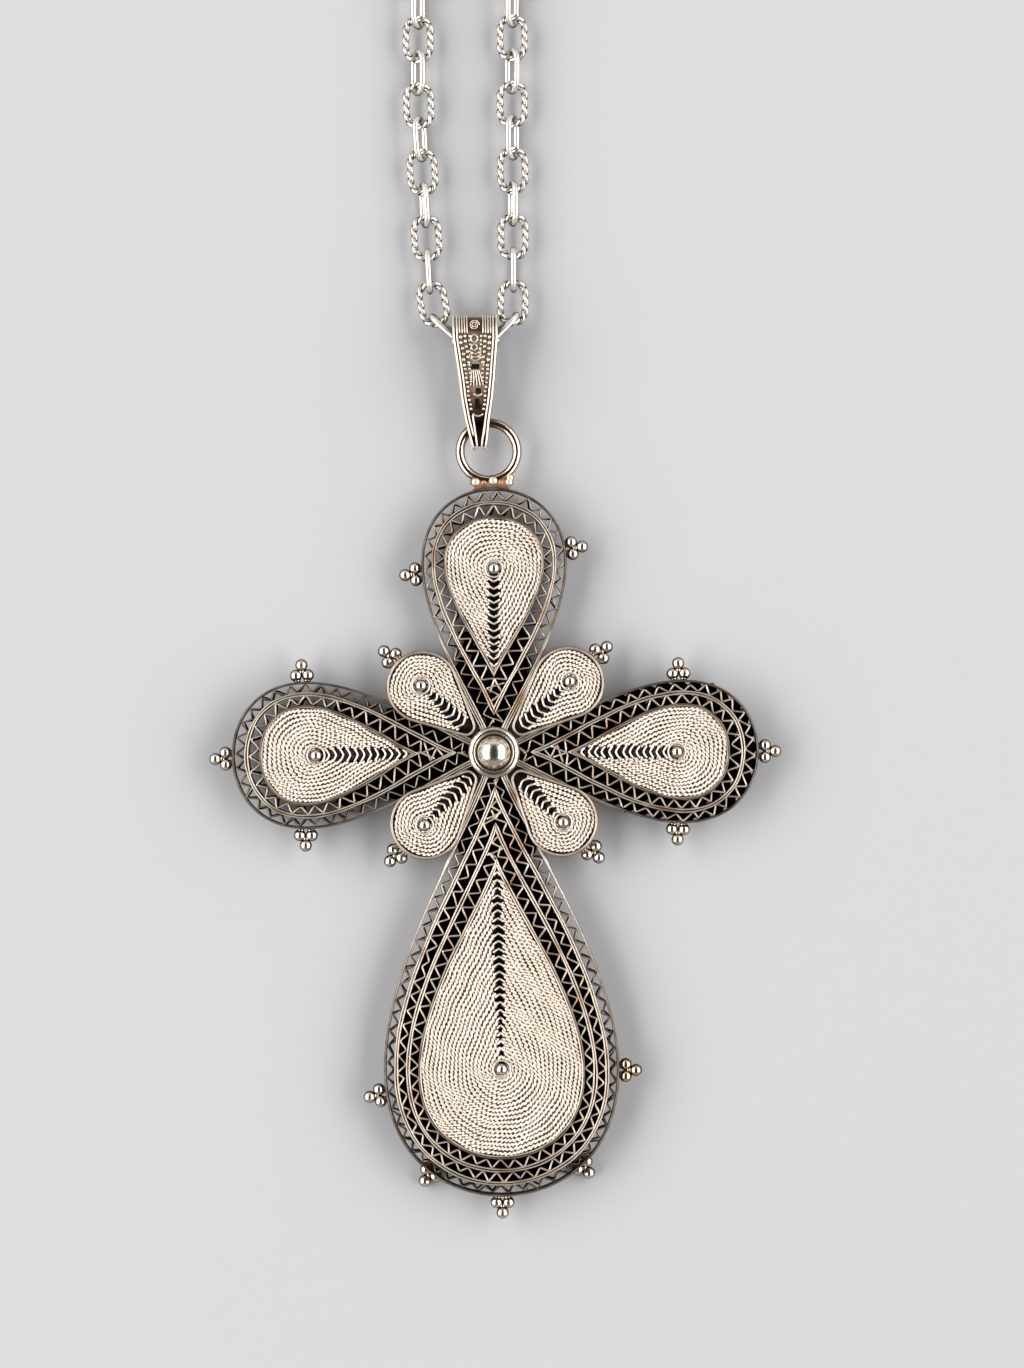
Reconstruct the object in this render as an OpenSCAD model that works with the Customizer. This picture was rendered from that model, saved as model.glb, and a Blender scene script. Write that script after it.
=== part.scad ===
// Filigree cross on a cable chain, lying with its back on a table.
// The origin is the middle of the cross on the table, +Y runs up to the chain and +Z away from the table.

/* [Cross] */
// Length of a short arm, from the middle of the cross
arm_length = 26.4; // [26:0.1:26.4]
// Half of the greatest width of a short arm
arm_half_width = 7.25; // [7.1:0.05:7.4]
// Length of the long lower arm
foot_length = 44.4; // [43:0.1:46]
// Half of the greatest width of the lower arm
foot_half_width = 11.75; // [11.4:0.05:12]
// Thickness of the whole cross, from the table to the front of its panels
cross_depth = 4.4; // [4.2:0.1:5]
// Height of the outer rim, a flat wire on edge
rim_height = 1.8; // [1.4:0.1:2]
// Thickness of the rim wires
rim_wire = 0.4; // [0.3:0.05:0.5]
// Zigzag gaps in the outer band of a short arm
arm_gaps = 20; // [12:2:20]
// Zigzag gaps in the outer band of the lower arm
foot_gaps = 30; // [20:2:30]

/* [Petals and boss] */
// Radius of a petal's round end
petal_radius = 3.6; // [3.4:0.05:3.7]
// Radius of the collar round the boss
collar_radius = 2.57; // [2.5:0.01:2.6]
// Radius of the polished dome of the boss
dome_radius = 1.6; // [1.4:0.05:1.8]
// Diameter of one granule
granule_d = 1.24; // [1.1:0.02:1.3]

/* [Ring and bail] */
// Mean radius of the suspension ring
ring_radius = 2.85; // [2.8:0.01:2.9]
// Diameter of the ring's wire
ring_wire = 0.9; // [0.8:0.02:0.9]
// Thickness of the bail's folded strip
bail_wall = 0.4; // [0.35:0.05:0.5]

/* [Chain] */
// Outer length of a twisted link
twist_length = 4.8; // [4.7:0.05:4.9]
// Outer width of a twisted link
twist_width = 3.1; // [3:0.05:3.3]
// Diameter of a twisted link's wire
twist_wire = 0.65; // [0.55:0.05:0.65]
// Outer length of a smooth link
smooth_length = 4.7; // [4.6:0.05:4.8]
// Outer width of a smooth link
smooth_width = 2.9; // [2.8:0.05:3]
// Diameter of a smooth link's wire
smooth_wire = 0.6; // [0.5:0.05:0.6]
// Slack between two linked wires
link_slack = 0.15; // [0.12:0.01:0.3]
// Radius of the round in which the far side of the chain lies
loop_radius = 57; // [50:0.5:75]
// Length of the clasp between the two links that it joins
clasp_span = 18; // [16:0.5:22]

/* [Hidden] */
$fn = 32;
// Small clearance between two pieces that are seated on each other
seat = 0.06;
// How far a cut runs past the faces that it cuts
beyond = 1;
mid_z = cross_depth / 2;

// Each arm: name, direction, length, half width, where its panel starts, how far the panel's edge
// lies inside the rim at the end and at the sides, bands of zigzag, gaps in the outer band,
// distance of the panel's granule from the middle
NAME = 0;
DIRECTION = 1;
LENGTH = 2;
HALF_WIDTH = 3;
PANEL_START = 4;
END_INSET = 5;
SIDE_INSET = 6;
BANDS = 7;
GAPS = 8;
GRANULE_AT = 9;
ARMS = [
    ["top", 90, arm_length, arm_half_width, 7.8, 3, 2.4, 2, arm_gaps, 18.3],
    ["left", 181, arm_length - 0.2, arm_half_width + 0.1, 7.8, 3, 2.5, 2, arm_gaps, 17.7],
    ["right", 0.2, arm_length + 0.05, arm_half_width - 0.1, 7.7, 3.1, 2.5, 2, arm_gaps, 18.2],
    ["bottom", 271.4, foot_length, foot_half_width, 10.8, 4, 3.6, 3, foot_gaps, 31.5]
];

// Each petal: name, direction, distance of its round end's centre
PETAL_AT = 2;
PETALS = [
    ["upper_left", 137.5, 9.65],
    ["upper_right", 43, 10.15],
    ["lower_left", 226.4, 9.8],
    ["lower_right", 314.8, 9.6]
];

// Each granule cluster on an arm: name, arm, angle round the drop (180 is its end), under the rim or not
CLUSTER_ARM = 1;
CLUSTER_TURN = 2;
CLUSTER_LOW = 3;
ARM_CLUSTERS = [
    ["top_left", 0, 110.5, false],
    ["top_right", 0, 237.5, false],
    ["left_end", 1, 179, false],
    ["left_upper", 1, 243, false],
    ["left_lower", 1, 116.5, false],
    ["right_end", 2, 180, false],
    ["right_upper", 2, 113.5, false],
    ["right_lower", 2, 247, false],
    ["foot_left", 3, 238, false],
    ["foot_right", 3, 116.5, false],
    ["foot_end", 3, 180.8, false],
    ["foot_lower_left", 3, 207, true],
    ["foot_lower_right", 3, 151, true]
];

// A drop along +X, pointed at its start and round at its end
DROP_POINTS = 40;
DROP_FULLNESS = 1.5;
drop_peak = drop_side(2 * asin(sqrt((DROP_FULLNESS + 1) / (DROP_FULLNESS + 2))));
function drop_side(t) = sin(t) * pow(sin(t / 2), DROP_FULLNESS);
function drop_point(from, to, w, t) = rounded(
    [from + (to - from) * (1 - cos(t)) / 2, w * drop_side(t) / drop_peak]);
// Points to the nearest micrometre
function rounded(point) = [for (c = point) round(c * 1000) / 1000];

// The drop of an arm at depth k: 0 is the outside of its rim and 1 the edge of its panel
function arm_point(arm, k, t) = drop_point(
    arm[PANEL_START] * k,
    arm[LENGTH] - arm[END_INSET] * k,
    arm[HALF_WIDTH] - arm[SIDE_INSET] * k,
    t);
function arm_outline(arm, k) =
    [for (i = [0 : DROP_POINTS - 1]) arm_point(arm, k, 360 * i / DROP_POINTS)];

// The outline round two circles on the X axis, the wider one further out
function taper_outline(near, near_r, far, far_r, steps = 12) =
    let (lean = 90 + asin((far_r - near_r) / (far - near)))
    concat(
        [for (i = [0 : steps]) let (a = -lean + 2 * lean * i / steps)
            rounded([far + far_r * cos(a), far_r * sin(a)])],
        [for (i = [0 : steps / 2]) let (a = lean + 2 * (180 - lean) * i / (steps / 2))
            rounded([near + near_r * cos(a), near_r * sin(a)])]);

function loop_order(start, count) = [for (i = [0 : count - 1]) start + i];

module plate(outline, low, high) {
    translate([0, 0, low]) linear_extrude(high - low) polygon(outline);
}

// A flat plate between two outlines
module band(outer, inner, low, high) {
    translate([0, 0, low]) linear_extrude(high - low)
        polygon(concat(outer, inner),
            paths = [loop_order(0, len(outer)), loop_order(len(outer), len(inner))]);
}

// The same thing at the front and, mirrored, at the back of the cross
module front_and_back() {
    children();
    translate([0, 0, cross_depth]) mirror([0, 0, 1]) children();
}

// Arm frames: rims of flat wire on edge, soldered to the zigzag wire between them
rim_rise = 0.7;
rim_drop = 0.75;
zigzag_wire = 0.25;
zigzag_under_rim = 0.05;
hub_radius = 2.3;
GAP_TURN_START = 48;
SLOTS_PER_BAND = 6;
SLOT_BRIDGE = 5;
SLOT_LEAN = 3.5;
SLOT_EDGE = 0.03;
SLOT_PARTS = 4;
GAP_FILL = 0.72;

function rim_top(arm, rim) = mid_z + rim_height / 2 + rim_rise * rim / arm[BANDS];
function rim_k(arm) = rim_wire / arm[END_INSET];
// Depths of the outer and inner face of a rim
function rim_outer_k(arm, rim) =
    rim == 0 ? 0 : rim == arm[BANDS] ? 1 - rim_k(arm) : rim / arm[BANDS] - rim_k(arm) / 2;
function rim_inner_k(arm, rim) = rim_outer_k(arm, rim) + rim_k(arm);

// A point of the zigzag wire: even steps touch the outer rim and odd ones the inner rim
function zigzag_point(arm, step, side) = arm_point(
    arm,
    side % 2 == 0 ? rim_inner_k(arm, 0) : rim_outer_k(arm, 1),
    GAP_TURN_START + (360 - 2 * GAP_TURN_START) * step / (arm[GAPS] + 1));
function shrink(points, share) =
    let (middle = [for (axis = [0, 1]) sum([for (p = points) p[axis]]) / len(points)])
    [for (p = points) middle + (p - middle) * share];
function sum(v, i = 0) = i < len(v) ? v[i] + sum(v, i + 1) : 0;
function zigzag_gap(arm, step) = shrink([
    zigzag_point(arm, step, step),
    zigzag_point(arm, step + 1, step),
    zigzag_point(arm, step + 2, step),
    zigzag_point(arm, step + 1, step + 1)
], GAP_FILL);

// A long gap between two inner rims, between bridges that lean one way and then the other
function slot_gap(arm, rim, slot) =
    let (step = (360 - 2 * GAP_TURN_START) / SLOTS_PER_BAND,
        start = GAP_TURN_START + step * slot,
        lean = slot % 2 == 0 ? SLOT_LEAN : -SLOT_LEAN,
        outer_k = rim_inner_k(arm, rim) + SLOT_EDGE,
        inner_k = rim_outer_k(arm, rim + 1) - SLOT_EDGE,
        outer_from = start + SLOT_BRIDGE + lean,
        outer_to = start + step - SLOT_BRIDGE - lean,
        inner_from = start + SLOT_BRIDGE - lean,
        inner_to = start + step - SLOT_BRIDGE + lean,
        outer_part = (outer_to - outer_from) / SLOT_PARTS,
        inner_part = (inner_to - inner_from) / SLOT_PARTS)
    concat(
        [for (i = [0 : SLOT_PARTS]) arm_point(arm, outer_k, outer_from + outer_part * i)],
        [for (i = [SLOT_PARTS : -1 : 0]) arm_point(arm, inner_k, inner_from + inner_part * i)]);

module lattice(arm, rim) {
    outer = arm_outline(arm, rim_outer_k(arm, rim) + rim_k(arm) / 2);
    inner = arm_outline(arm, rim_outer_k(arm, rim + 1) + rim_k(arm) / 2);
    top = rim_top(arm, rim) - zigzag_under_rim;
    difference() {
        band(outer, inner, top - zigzag_wire, top);
        if (rim == 0)
            for (step = [0 : arm[GAPS] - 1])
                plate(zigzag_gap(arm, step), top - 2 * zigzag_wire, top + zigzag_wire);
        else
            for (slot = [0 : SLOTS_PER_BAND - 1])
                plate(slot_gap(arm, rim, slot), top - 2 * zigzag_wire, top + zigzag_wire);
    }
}

module arm_frame(arm) {
    color("dimgray") rotate([0, 0, arm[DIRECTION]])
        difference() {
            union() {
                band(arm_outline(arm, 0), arm_outline(arm, rim_k(arm)),
                    mid_z - rim_height / 2, mid_z + rim_height / 2);
                front_and_back() {
                    for (rim = [1 : arm[BANDS]])
                        band(arm_outline(arm, rim_outer_k(arm, rim)),
                            arm_outline(arm, rim_inner_k(arm, rim)),
                            rim_top(arm, rim) - rim_drop, rim_top(arm, rim));
                    for (rim = [0 : arm[BANDS] - 1]) lattice(arm, rim);
                }
            }
            translate([0, 0, -beyond]) cylinder(r = hub_radius + seat, h = cross_depth + 2 * beyond);
        }
}

// Panels: a low dome of coiled twisted wire, with a slot down its middle and a granule at the slot's end
PANEL_EDGE = 1.04;
panel_edge_height = 0.35;
panel_rise = 1.05;
SLOT_START = 1.25;
slot_narrow = 0.15;
slot_wide = 0.4;

// Profile of the dome above its edge: depth of the outline, share of the rise
DOME_STEPS = [[1.5, 0.6], [2.1, 1]];
slab = 0.04;

module panel(arm, with_granule) {
    low = cross_depth - panel_rise;
    rise = panel_rise - panel_edge_height;
    color("antiquewhite") rotate([0, 0, arm[DIRECTION]]) {
        difference() {
            hull() {
                plate(arm_outline(arm, PANEL_EDGE), low, low + panel_edge_height);
                for (step = DOME_STEPS)
                    plate(arm_outline(arm, step[0]),
                        low + panel_edge_height + rise * step[1] - slab,
                        low + panel_edge_height + rise * step[1]);
            }
            plate([
                [arm[PANEL_START] * SLOT_START, -slot_narrow],
                [arm[GRANULE_AT], -slot_wide],
                [arm[GRANULE_AT], slot_wide],
                [arm[PANEL_START] * SLOT_START, slot_narrow]
            ], low - beyond, cross_depth + beyond);
        }
        if (with_granule)
            translate([arm[GRANULE_AT], 0, cross_depth]) sphere(d = granule_d);
    }
}

// Petals: the same work on a rounder frame, laid over the arms' rims and closed round its outer end
petal_inner_at = 3.8;
petal_inner_radius = 1;
petal_dome_inset = 0.8;
petal_edge_height = 0.4;
petal_clear = 0.1;
petal_low = mid_z + rim_height / 2 + petal_clear;
petal_top = cross_depth - 0.35;
petal_slot_start = 5;
petal_slot_wide = 0.3;
petal_granule_out = 0.2;

module petal(row) {
    edge = taper_outline(petal_inner_at, petal_inner_radius, row[PETAL_AT], petal_radius);
    crown = taper_outline(petal_inner_at, petal_inner_radius - petal_dome_inset,
        row[PETAL_AT], petal_radius - petal_dome_inset);
    inside = taper_outline(petal_inner_at, petal_inner_radius - rim_wire,
        row[PETAL_AT], petal_radius - rim_wire);
    color("antiquewhite") difference() {
        union() {
            rotate([0, 0, row[DIRECTION]]) front_and_back() {
                hull() {
                    plate(edge, petal_low, petal_low + petal_edge_height);
                    plate(crown, petal_top - slab, petal_top);
                }
            }
            difference() {
                rotate([0, 0, row[DIRECTION]])
                    band(edge, inside, cross_depth - petal_low - slab, petal_low + slab);
                for (arm = ARMS)
                    rotate([0, 0, arm[DIRECTION]])
                        plate(arm_outline(arm, -petal_clear / arm[END_INSET]),
                            cross_depth - petal_low - 2 * slab, petal_low + 2 * slab);
            }
        }
        rotate([0, 0, row[DIRECTION]])
            plate([
                [petal_slot_start, -slot_narrow],
                [row[PETAL_AT], -petal_slot_wide],
                [row[PETAL_AT], petal_slot_wide],
                [petal_slot_start, slot_narrow]
            ], -beyond, cross_depth + beyond);
    }
    color("silver") rotate([0, 0, row[DIRECTION]])
        translate([row[PETAL_AT] + petal_granule_out, 0, petal_top]) sphere(d = granule_d);
}

// Centre boss: hub, collar, ring and dome turned as one, with a flat foot on the table
foot_radius = 2.4;
collar_top = cross_depth - 0.1;
collar_ring_radius = 1.95;
collar_ring_rise = 0.4;

module centre_boss() {
    color("silver") {
        cylinder(r = foot_radius, h = cross_depth - petal_low);
        cylinder(r = hub_radius, h = petal_low);
        translate([0, 0, petal_low]) cylinder(r = collar_radius, h = collar_top - petal_low);
        translate([0, 0, collar_top - slab])
            cylinder(r = collar_ring_radius, h = collar_ring_rise + slab);
        intersection() {
            translate([0, 0, collar_top]) sphere(r = dome_radius);
            translate([0, 0, collar_top - slab]) cylinder(r = collar_radius, h = dome_radius + beyond);
        }
    }
}

// Granules: two beside each other on the rim and one on their outer side, soldered together
granule_step = granule_d - 0.05;
granule_low_z = mid_z - rim_height / 2 - seat - granule_d / 2;
granule_low_in = 0.5;

module granules(place, away, z) {
    color("silver") translate([place[0], place[1], z]) rotate([0, 0, away]) {
        reach = granule_d / 2 + seat;
        for (side = [-1, 1])
            translate([reach, side * granule_step / 2, 0]) sphere(d = granule_d);
        translate([reach + granule_step * cos(30), 0, 0]) sphere(d = granule_d);
    }
}

module arm_granules(row) {
    arm = ARMS[row[CLUSTER_ARM]];
    here = arm_point(arm, 0, row[CLUSTER_TURN]);
    step = arm_point(arm, 0, row[CLUSTER_TURN] + 1) - arm_point(arm, 0, row[CLUSTER_TURN] - 1);
    away = atan2(-step[0], step[1]) + 180;
    rotate([0, 0, arm[DIRECTION]])
        granules(row[CLUSTER_LOW] ? here - [cos(away), sin(away)] * granule_low_in : here, away,
            row[CLUSTER_LOW] ? granule_low_z : mid_z);
}

module petal_granules(row) {
    rotate([0, 0, row[DIRECTION]])
        granules([row[PETAL_AT] + petal_radius, 0], 0, mid_z);
}

// Suspension ring, soldered to a short bar with three blobs on the top of the frame
ring_x = -0.55;
ring_y = arm_length + 3.65;
bar_half = 1.9;
bar_y = arm_length + 0.16;
bar_height = 0.7;
blob_radius = 0.5;
blob_step = 1.6;
blob_in = 0.06;

module suspension_ring() {
    color("goldenrod") {
        translate([ring_x, ring_y, mid_z])
            rotate_extrude() translate([ring_radius, 0]) circle(d = ring_wire);
        translate([ring_x - bar_half, bar_y, mid_z - bar_height / 2])
            cube([2 * bar_half, ring_y - ring_radius + blob_in - bar_y, bar_height]);
        for (x = [-1, 0, 1])
            translate([ring_x + x * blob_step, bar_y + blob_radius + blob_in, mid_z])
                sphere(r = blob_radius);
    }
}

// Bail: a strip folded over the chain, its two leaves closing below the ring's wire
bail_top_y = arm_length + 17.2;
bail_bottom_y = arm_length + 3.7;
bail_top_radius = 2.25;
bail_bottom_radius = 0.95;
bail_z = bail_top_radius + 0.02;
bail_ring_room = 0.6;
bail_tip = 0.6;
bail_side_x = 6;

// Outline of the bail from the front: distance from its top, middle, half width
BAIL_ROWS = [
    [-0.1, -1.93, 2.28],
    [2.4, -1.85, 2.25],
    [4.4, -1.78, 2.02],
    [6.4, -1.7, 1.8],
    [8.4, -1.68, 1.58],
    [10.4, -1.65, 1.25],
    [12.4, -1.5, 0.9],
    [13.6, -1.45, 0.65]
];
// Holes in the front leaf: distance of the top edge from the bail's top, length, middle, half width
// at the top and at the bottom
BAIL_HOLES = [
    [4.8, 0.75, -1.9, 0.4, 0.4],
    [7.3, 0.45, -1.55, 0.3, 0.25],
    [8.4, 1.1, -1.65, 0.28, 0.28],
    [10.1, 3, -1.45, 0.55, 0.1]
];

module bail() {
    outside = taper_outline(bail_bottom_y + bail_bottom_radius, bail_bottom_radius,
        bail_top_y - bail_top_radius, bail_top_radius);
    inside = taper_outline(bail_bottom_y + bail_tip + bail_ring_room, bail_ring_room,
        bail_top_y - bail_top_radius, bail_top_radius - bail_wall);
    color("gainsboro") difference() {
        intersection() {
            translate([-bail_side_x, 0, bail_z]) rotate([90, 0, 90])
                linear_extrude(2 * bail_side_x) polygon(concat(outside, inside),
                    paths = [loop_order(0, len(outside)), loop_order(len(outside), len(inside))]);
            plate(concat(
                [for (row = BAIL_ROWS) [row[1] - row[2], bail_top_y - row[0]]],
                [for (i = [len(BAIL_ROWS) - 1 : -1 : 0])
                    [BAIL_ROWS[i][1] + BAIL_ROWS[i][2], bail_top_y - BAIL_ROWS[i][0]]]
            ), -beyond, bail_z + bail_top_radius + beyond);
        }
        for (hole = BAIL_HOLES)
            let (top = bail_top_y - hole[0], bottom = top - hole[1])
                plate([
                    [hole[2] - hole[3], top], [hole[2] - hole[4], bottom],
                    [hole[2] + hole[4], bottom], [hole[2] + hole[3], top]
                ], bail_z, bail_z + bail_top_radius + beyond);
    }
}

// One oval link along +X, flat in XY: two half rings joined by straight wires
module link(length, width, wire) {
    straight = length - width;
    bend = (width - wire) / 2;
    for (end = [-1, 1]) {
        translate([end * straight / 2, 0, 0]) rotate([0, 0, end * 90 - 180])
            rotate_extrude(angle = 180) translate([bend, 0]) circle(d = wire);
        translate([-straight / 2, end * bend, 0]) rotate([0, 90, 0])
            cylinder(d = wire, h = straight);
    }
}

// Half of the chain in its own frame, +X away from the loop's middle line: the first link beside the bail,
// a strand that leans and then runs straight up, a bend outwards, and a round back to the middle line
link_step = (twist_length - twist_wire + smooth_length - smooth_wire) / 2
    - (twist_wire + smooth_wire) / 2 - link_slack;
loop_x = -2.9;
strand_out = 4.72;
strand_lean_y = arm_length + 38.6;
strand_top_y = arm_length + 53.1;
flare_radius = 20;
flare_turn = acos((strand_out + flare_radius) / (loop_radius + flare_radius));
loop_y = strand_top_y + (loop_radius + flare_radius) * sin(flare_turn);

// Each half: side, the joint below its first link and the joint above it, tilt of that link,
// height and tilt of the smooth link between it and the bail
HALF_SIDE = 0;
HALF_START = 1;
HALF_KNEE = 2;
FIRST_TILT = 3;
BESIDE_Z = 4;
BESIDE_TILT = 5;
HALVES = [
    [-1, [-5.78, arm_length + 16.84], [-6.45, arm_length + 20.05], 5.2, 2.17, 8.8],
    [1, [1.84, arm_length + 16.93], [1.95, arm_length + 20.15], 4, 2.22, 6.6]
];

function from_middle(half, point) = [(point[0] - loop_x) * half[HALF_SIDE], point[1]];
function half_start(half) = from_middle(half, half[HALF_START]);
function half_knee(half) = from_middle(half, half[HALF_KNEE]);
function first_vector(half) = half_knee(half) - half_start(half);
function lean_vector(half) = [strand_out, strand_lean_y] - half_knee(half);
function rise_length() = strand_top_y - strand_lean_y;
function flare_length() = flare_radius * flare_turn * PI / 180;
function round_length() = loop_radius * (90 + flare_turn) * PI / 180;
function half_length(half) = norm(first_vector(half)) + norm(lean_vector(half))
    + rise_length() + flare_length() + round_length();

function strand_point(half, s) =
    let (first = norm(first_vector(half)), lean = norm(lean_vector(half)),
        after_first = s - first, after_lean = after_first - lean,
        after_rise = after_lean - rise_length(), after_flare = after_rise - flare_length())
    after_first < 0 ? half_start(half) + first_vector(half) * s / first
    : after_lean < 0 ? half_knee(half) + lean_vector(half) * after_first / lean
    : after_rise < 0 ? [strand_out, strand_lean_y + after_lean]
    : after_flare < 0 ?
        let (turn = after_rise / flare_radius * 180 / PI)
        [strand_out + flare_radius * (1 - cos(turn)), strand_top_y + flare_radius * sin(turn)]
    : let (turn = after_flare / loop_radius * 180 / PI - flare_turn)
        [loop_radius * cos(turn), loop_y + loop_radius * sin(turn)];

// Links come in pairs, so that each half ends in a smooth link for the clasp
function half_links(half) = 2 * ceil((half_length(half) - clasp_span / 2) / (2 * link_step));
function joint_point(half, i) =
    let (s = i * (half_length(half) - clasp_span / 2) / half_links(half), p = strand_point(half, s))
    [loop_x + half[HALF_SIDE] * p[0], p[1]];

// Twisted links lie flat in smooth links that stand on the table, each rolled a little to one side
twist_z = 1.31;
roll_most = 24;
roll_turn = 75;
roll_phase = 30;
function smooth_roll(i) = roll_most * sin(i * roll_turn + roll_phase);
function smooth_z(roll) = (smooth_width - smooth_wire) / 2 * cos(roll) + smooth_wire / 2;

module link_between(a, b, z, roll, tilt, smooth) {
    heading = atan2(b[1] - a[1], b[0] - a[0]);
    translate([(a[0] + b[0]) / 2, (a[1] + b[1]) / 2, z]) rotate([0, 0, heading])
        rotate([0, tilt, 0]) rotate([roll, 0, 0])
            if (smooth) link(smooth_length, smooth_width, smooth_wire);
            else link(twist_length, twist_width, twist_wire);
}

// The links at the bail: a twisted one through it, a smooth one on each side, and the first one of each half
bail_link = [-1.855, arm_length + 14.84];
bail_link_z = 1.92;
bail_link_half = link_step / 2;
beside_roll = 80;
first_link_z = 1.575;

module chain_half(half) {
    color("whitesmoke") {
        link_between(joint_point(half, 0), joint_point(half, 1),
            first_link_z, 0, half[FIRST_TILT], false);
        for (i = [2 : half_links(half)])
            let (smooth = i % 2 == 0, roll = smooth ? 90 - smooth_roll(i) : 0)
                link_between(joint_point(half, i - 1), joint_point(half, i),
                    smooth ? smooth_z(smooth_roll(i)) : twist_z, roll, 0, smooth);
        link_between(half[HALF_START], bail_link + [half[HALF_SIDE] * bail_link_half, 0],
            half[BESIDE_Z], half[HALF_SIDE] * beside_roll, -half[BESIDE_TILT], true);
        if (half[HALF_SIDE] < 0)
            link_between(bail_link - [bail_link_half, 0], bail_link + [bail_link_half, 0],
                bail_link_z, 0, 0, false);
    }
}

// Clasp: a plain S of wire whose two hooks go through the last links
clasp_wire = 0.9;
clasp_bend = 1.9;
clasp_bar = 0.98;
clasp_bar_lap = 0.1;
clasp_hook_turn = 250;
clasp_z = 1.36;
clasp_y = loop_y + loop_radius * cos(clasp_span / 2 / loop_radius * 180 / PI);
clasp_hook_x = clasp_span / 2 - (smooth_length - smooth_wire - link_step) / 2
    + (smooth_wire + clasp_wire) / 2 + link_slack - clasp_bend;
clasp_lean = asin(clasp_bend / clasp_hook_x);

module clasp() {
    bar = 2 * (sqrt(pow(clasp_hook_x, 2) - pow(clasp_bend, 2)) + clasp_bar_lap);
    color("silver") translate([loop_x, clasp_y, clasp_z]) {
        for (turn = [0, 180]) rotate([0, 0, turn])
            translate([clasp_hook_x, 0, 0]) rotate([0, 0, -90 - clasp_lean])
                rotate_extrude(angle = clasp_hook_turn) translate([clasp_bend, 0]) circle(d = clasp_wire);
        rotate([0, 0, -clasp_lean]) rotate([0, 90, 0]) cylinder(d = clasp_bar, h = bar, center = true);
    }
}

for (arm = ARMS) {
    arm_frame(arm);
    panel(arm, true);
    translate([0, 0, cross_depth]) mirror([0, 0, 1]) panel(arm, false);
}
for (row = PETALS) {
    petal(row);
    petal_granules(row);
}
for (row = ARM_CLUSTERS)
    arm_granules(row);
centre_boss();
suspension_ring();
bail();
chain_half(HALVES[0]);  // chain_left
chain_half(HALVES[1]);  // chain_right
clasp();
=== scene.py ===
# %% [markdown]
# # A filigree cross on a cable chain
# The cross lies on its back on a pale surface. Its parts are silver wire: rims of flat wire on edge, a
# zigzag of wire between them, panels coiled from twisted wire, and small melted balls called granules. The
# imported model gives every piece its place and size. Here each one gets the wires that a jeweller would bend
# for it.

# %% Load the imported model
import math

import bpy
import numpy as np
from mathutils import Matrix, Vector


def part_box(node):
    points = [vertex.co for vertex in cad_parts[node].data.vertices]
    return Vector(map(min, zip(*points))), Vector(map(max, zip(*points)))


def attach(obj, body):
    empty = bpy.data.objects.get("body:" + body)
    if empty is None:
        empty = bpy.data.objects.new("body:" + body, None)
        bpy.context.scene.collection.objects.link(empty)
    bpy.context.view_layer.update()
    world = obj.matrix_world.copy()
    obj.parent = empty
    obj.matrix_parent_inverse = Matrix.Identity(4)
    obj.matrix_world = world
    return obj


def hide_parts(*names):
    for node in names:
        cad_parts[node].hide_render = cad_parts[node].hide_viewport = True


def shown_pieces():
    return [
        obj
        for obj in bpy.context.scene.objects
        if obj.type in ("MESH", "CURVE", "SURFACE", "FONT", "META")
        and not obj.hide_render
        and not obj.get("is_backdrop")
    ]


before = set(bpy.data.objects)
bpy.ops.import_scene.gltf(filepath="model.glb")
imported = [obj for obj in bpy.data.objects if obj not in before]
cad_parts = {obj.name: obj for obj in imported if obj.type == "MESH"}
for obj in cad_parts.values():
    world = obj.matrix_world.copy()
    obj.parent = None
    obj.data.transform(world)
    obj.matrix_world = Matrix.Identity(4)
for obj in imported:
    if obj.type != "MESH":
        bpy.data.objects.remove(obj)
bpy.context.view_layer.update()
MM = 0.001
print("nodes in the model:", len(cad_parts))

# %% [markdown]
# ## Sizes of the cross
# Everything below is in millimetres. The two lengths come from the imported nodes, and the tables repeat how
# the drops and petals are turned. A drop is pointed at the middle of the cross and round at its far end.
# Its panel is a smaller drop inside it, and rims and zigzags fill the space between the two.

# %% Named sizes
LOW, HIGH = (np.array(corner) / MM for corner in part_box("frame_top"))
ARM_LENGTH = HIGH[1]
FOOT_LENGTH = -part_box("frame_bottom")[0][1] / MM
CROSS_DEPTH = 4.4
MID_Z = CROSS_DEPTH / 2
RIM_HEIGHT = 1.8
RIM_WIRE = 0.4
RIM_RISE = 0.7
GRANULE = 1.24
DROP_FULLNESS = 1.5
rng = np.random.default_rng(7)

# turn: degrees from +X; length and half: the drop's reach and half its width; panel: where the panel's point
# lies; end_in and side_in: how far the panel's edge lies inside the drop, at its round end and at its sides;
# bands: how many zigzags lie side by side; granule: how far out the panel's granule is
ARMS = {
    "top": dict(turn=90, length=ARM_LENGTH, half=7.25, panel=7.8, end_in=3.0, side_in=2.4, bands=2,
                granule=18.3),
    "left": dict(turn=181, length=ARM_LENGTH - 0.2, half=7.35, panel=7.8, end_in=3.0, side_in=2.5, bands=2,
                 granule=17.7),
    "right": dict(turn=0.2, length=ARM_LENGTH + 0.05, half=7.15, panel=7.7, end_in=3.1, side_in=2.5, bands=2,
                  granule=18.2),
    "bottom": dict(turn=271.4, length=FOOT_LENGTH, half=11.75, panel=10.8, end_in=4.0, side_in=3.6, bands=3,
                   granule=31.5),
}
# far: middle of the petal's round end
PETALS = {
    "upper_left": dict(turn=137.5, far=9.65),
    "upper_right": dict(turn=43, far=10.15),
    "lower_left": dict(turn=226.4, far=9.8),
    "lower_right": dict(turn=314.8, far=9.6),
}
print("short arm", round(ARM_LENGTH, 2), "mm, foot", round(FOOT_LENGTH, 2), "mm")

# %% [markdown]
# ## A camera straight above
# A long lens far away shows a flat piece without making its near parts larger. The height follows from how
# many millimetres the picture's long side has to hold.

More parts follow.
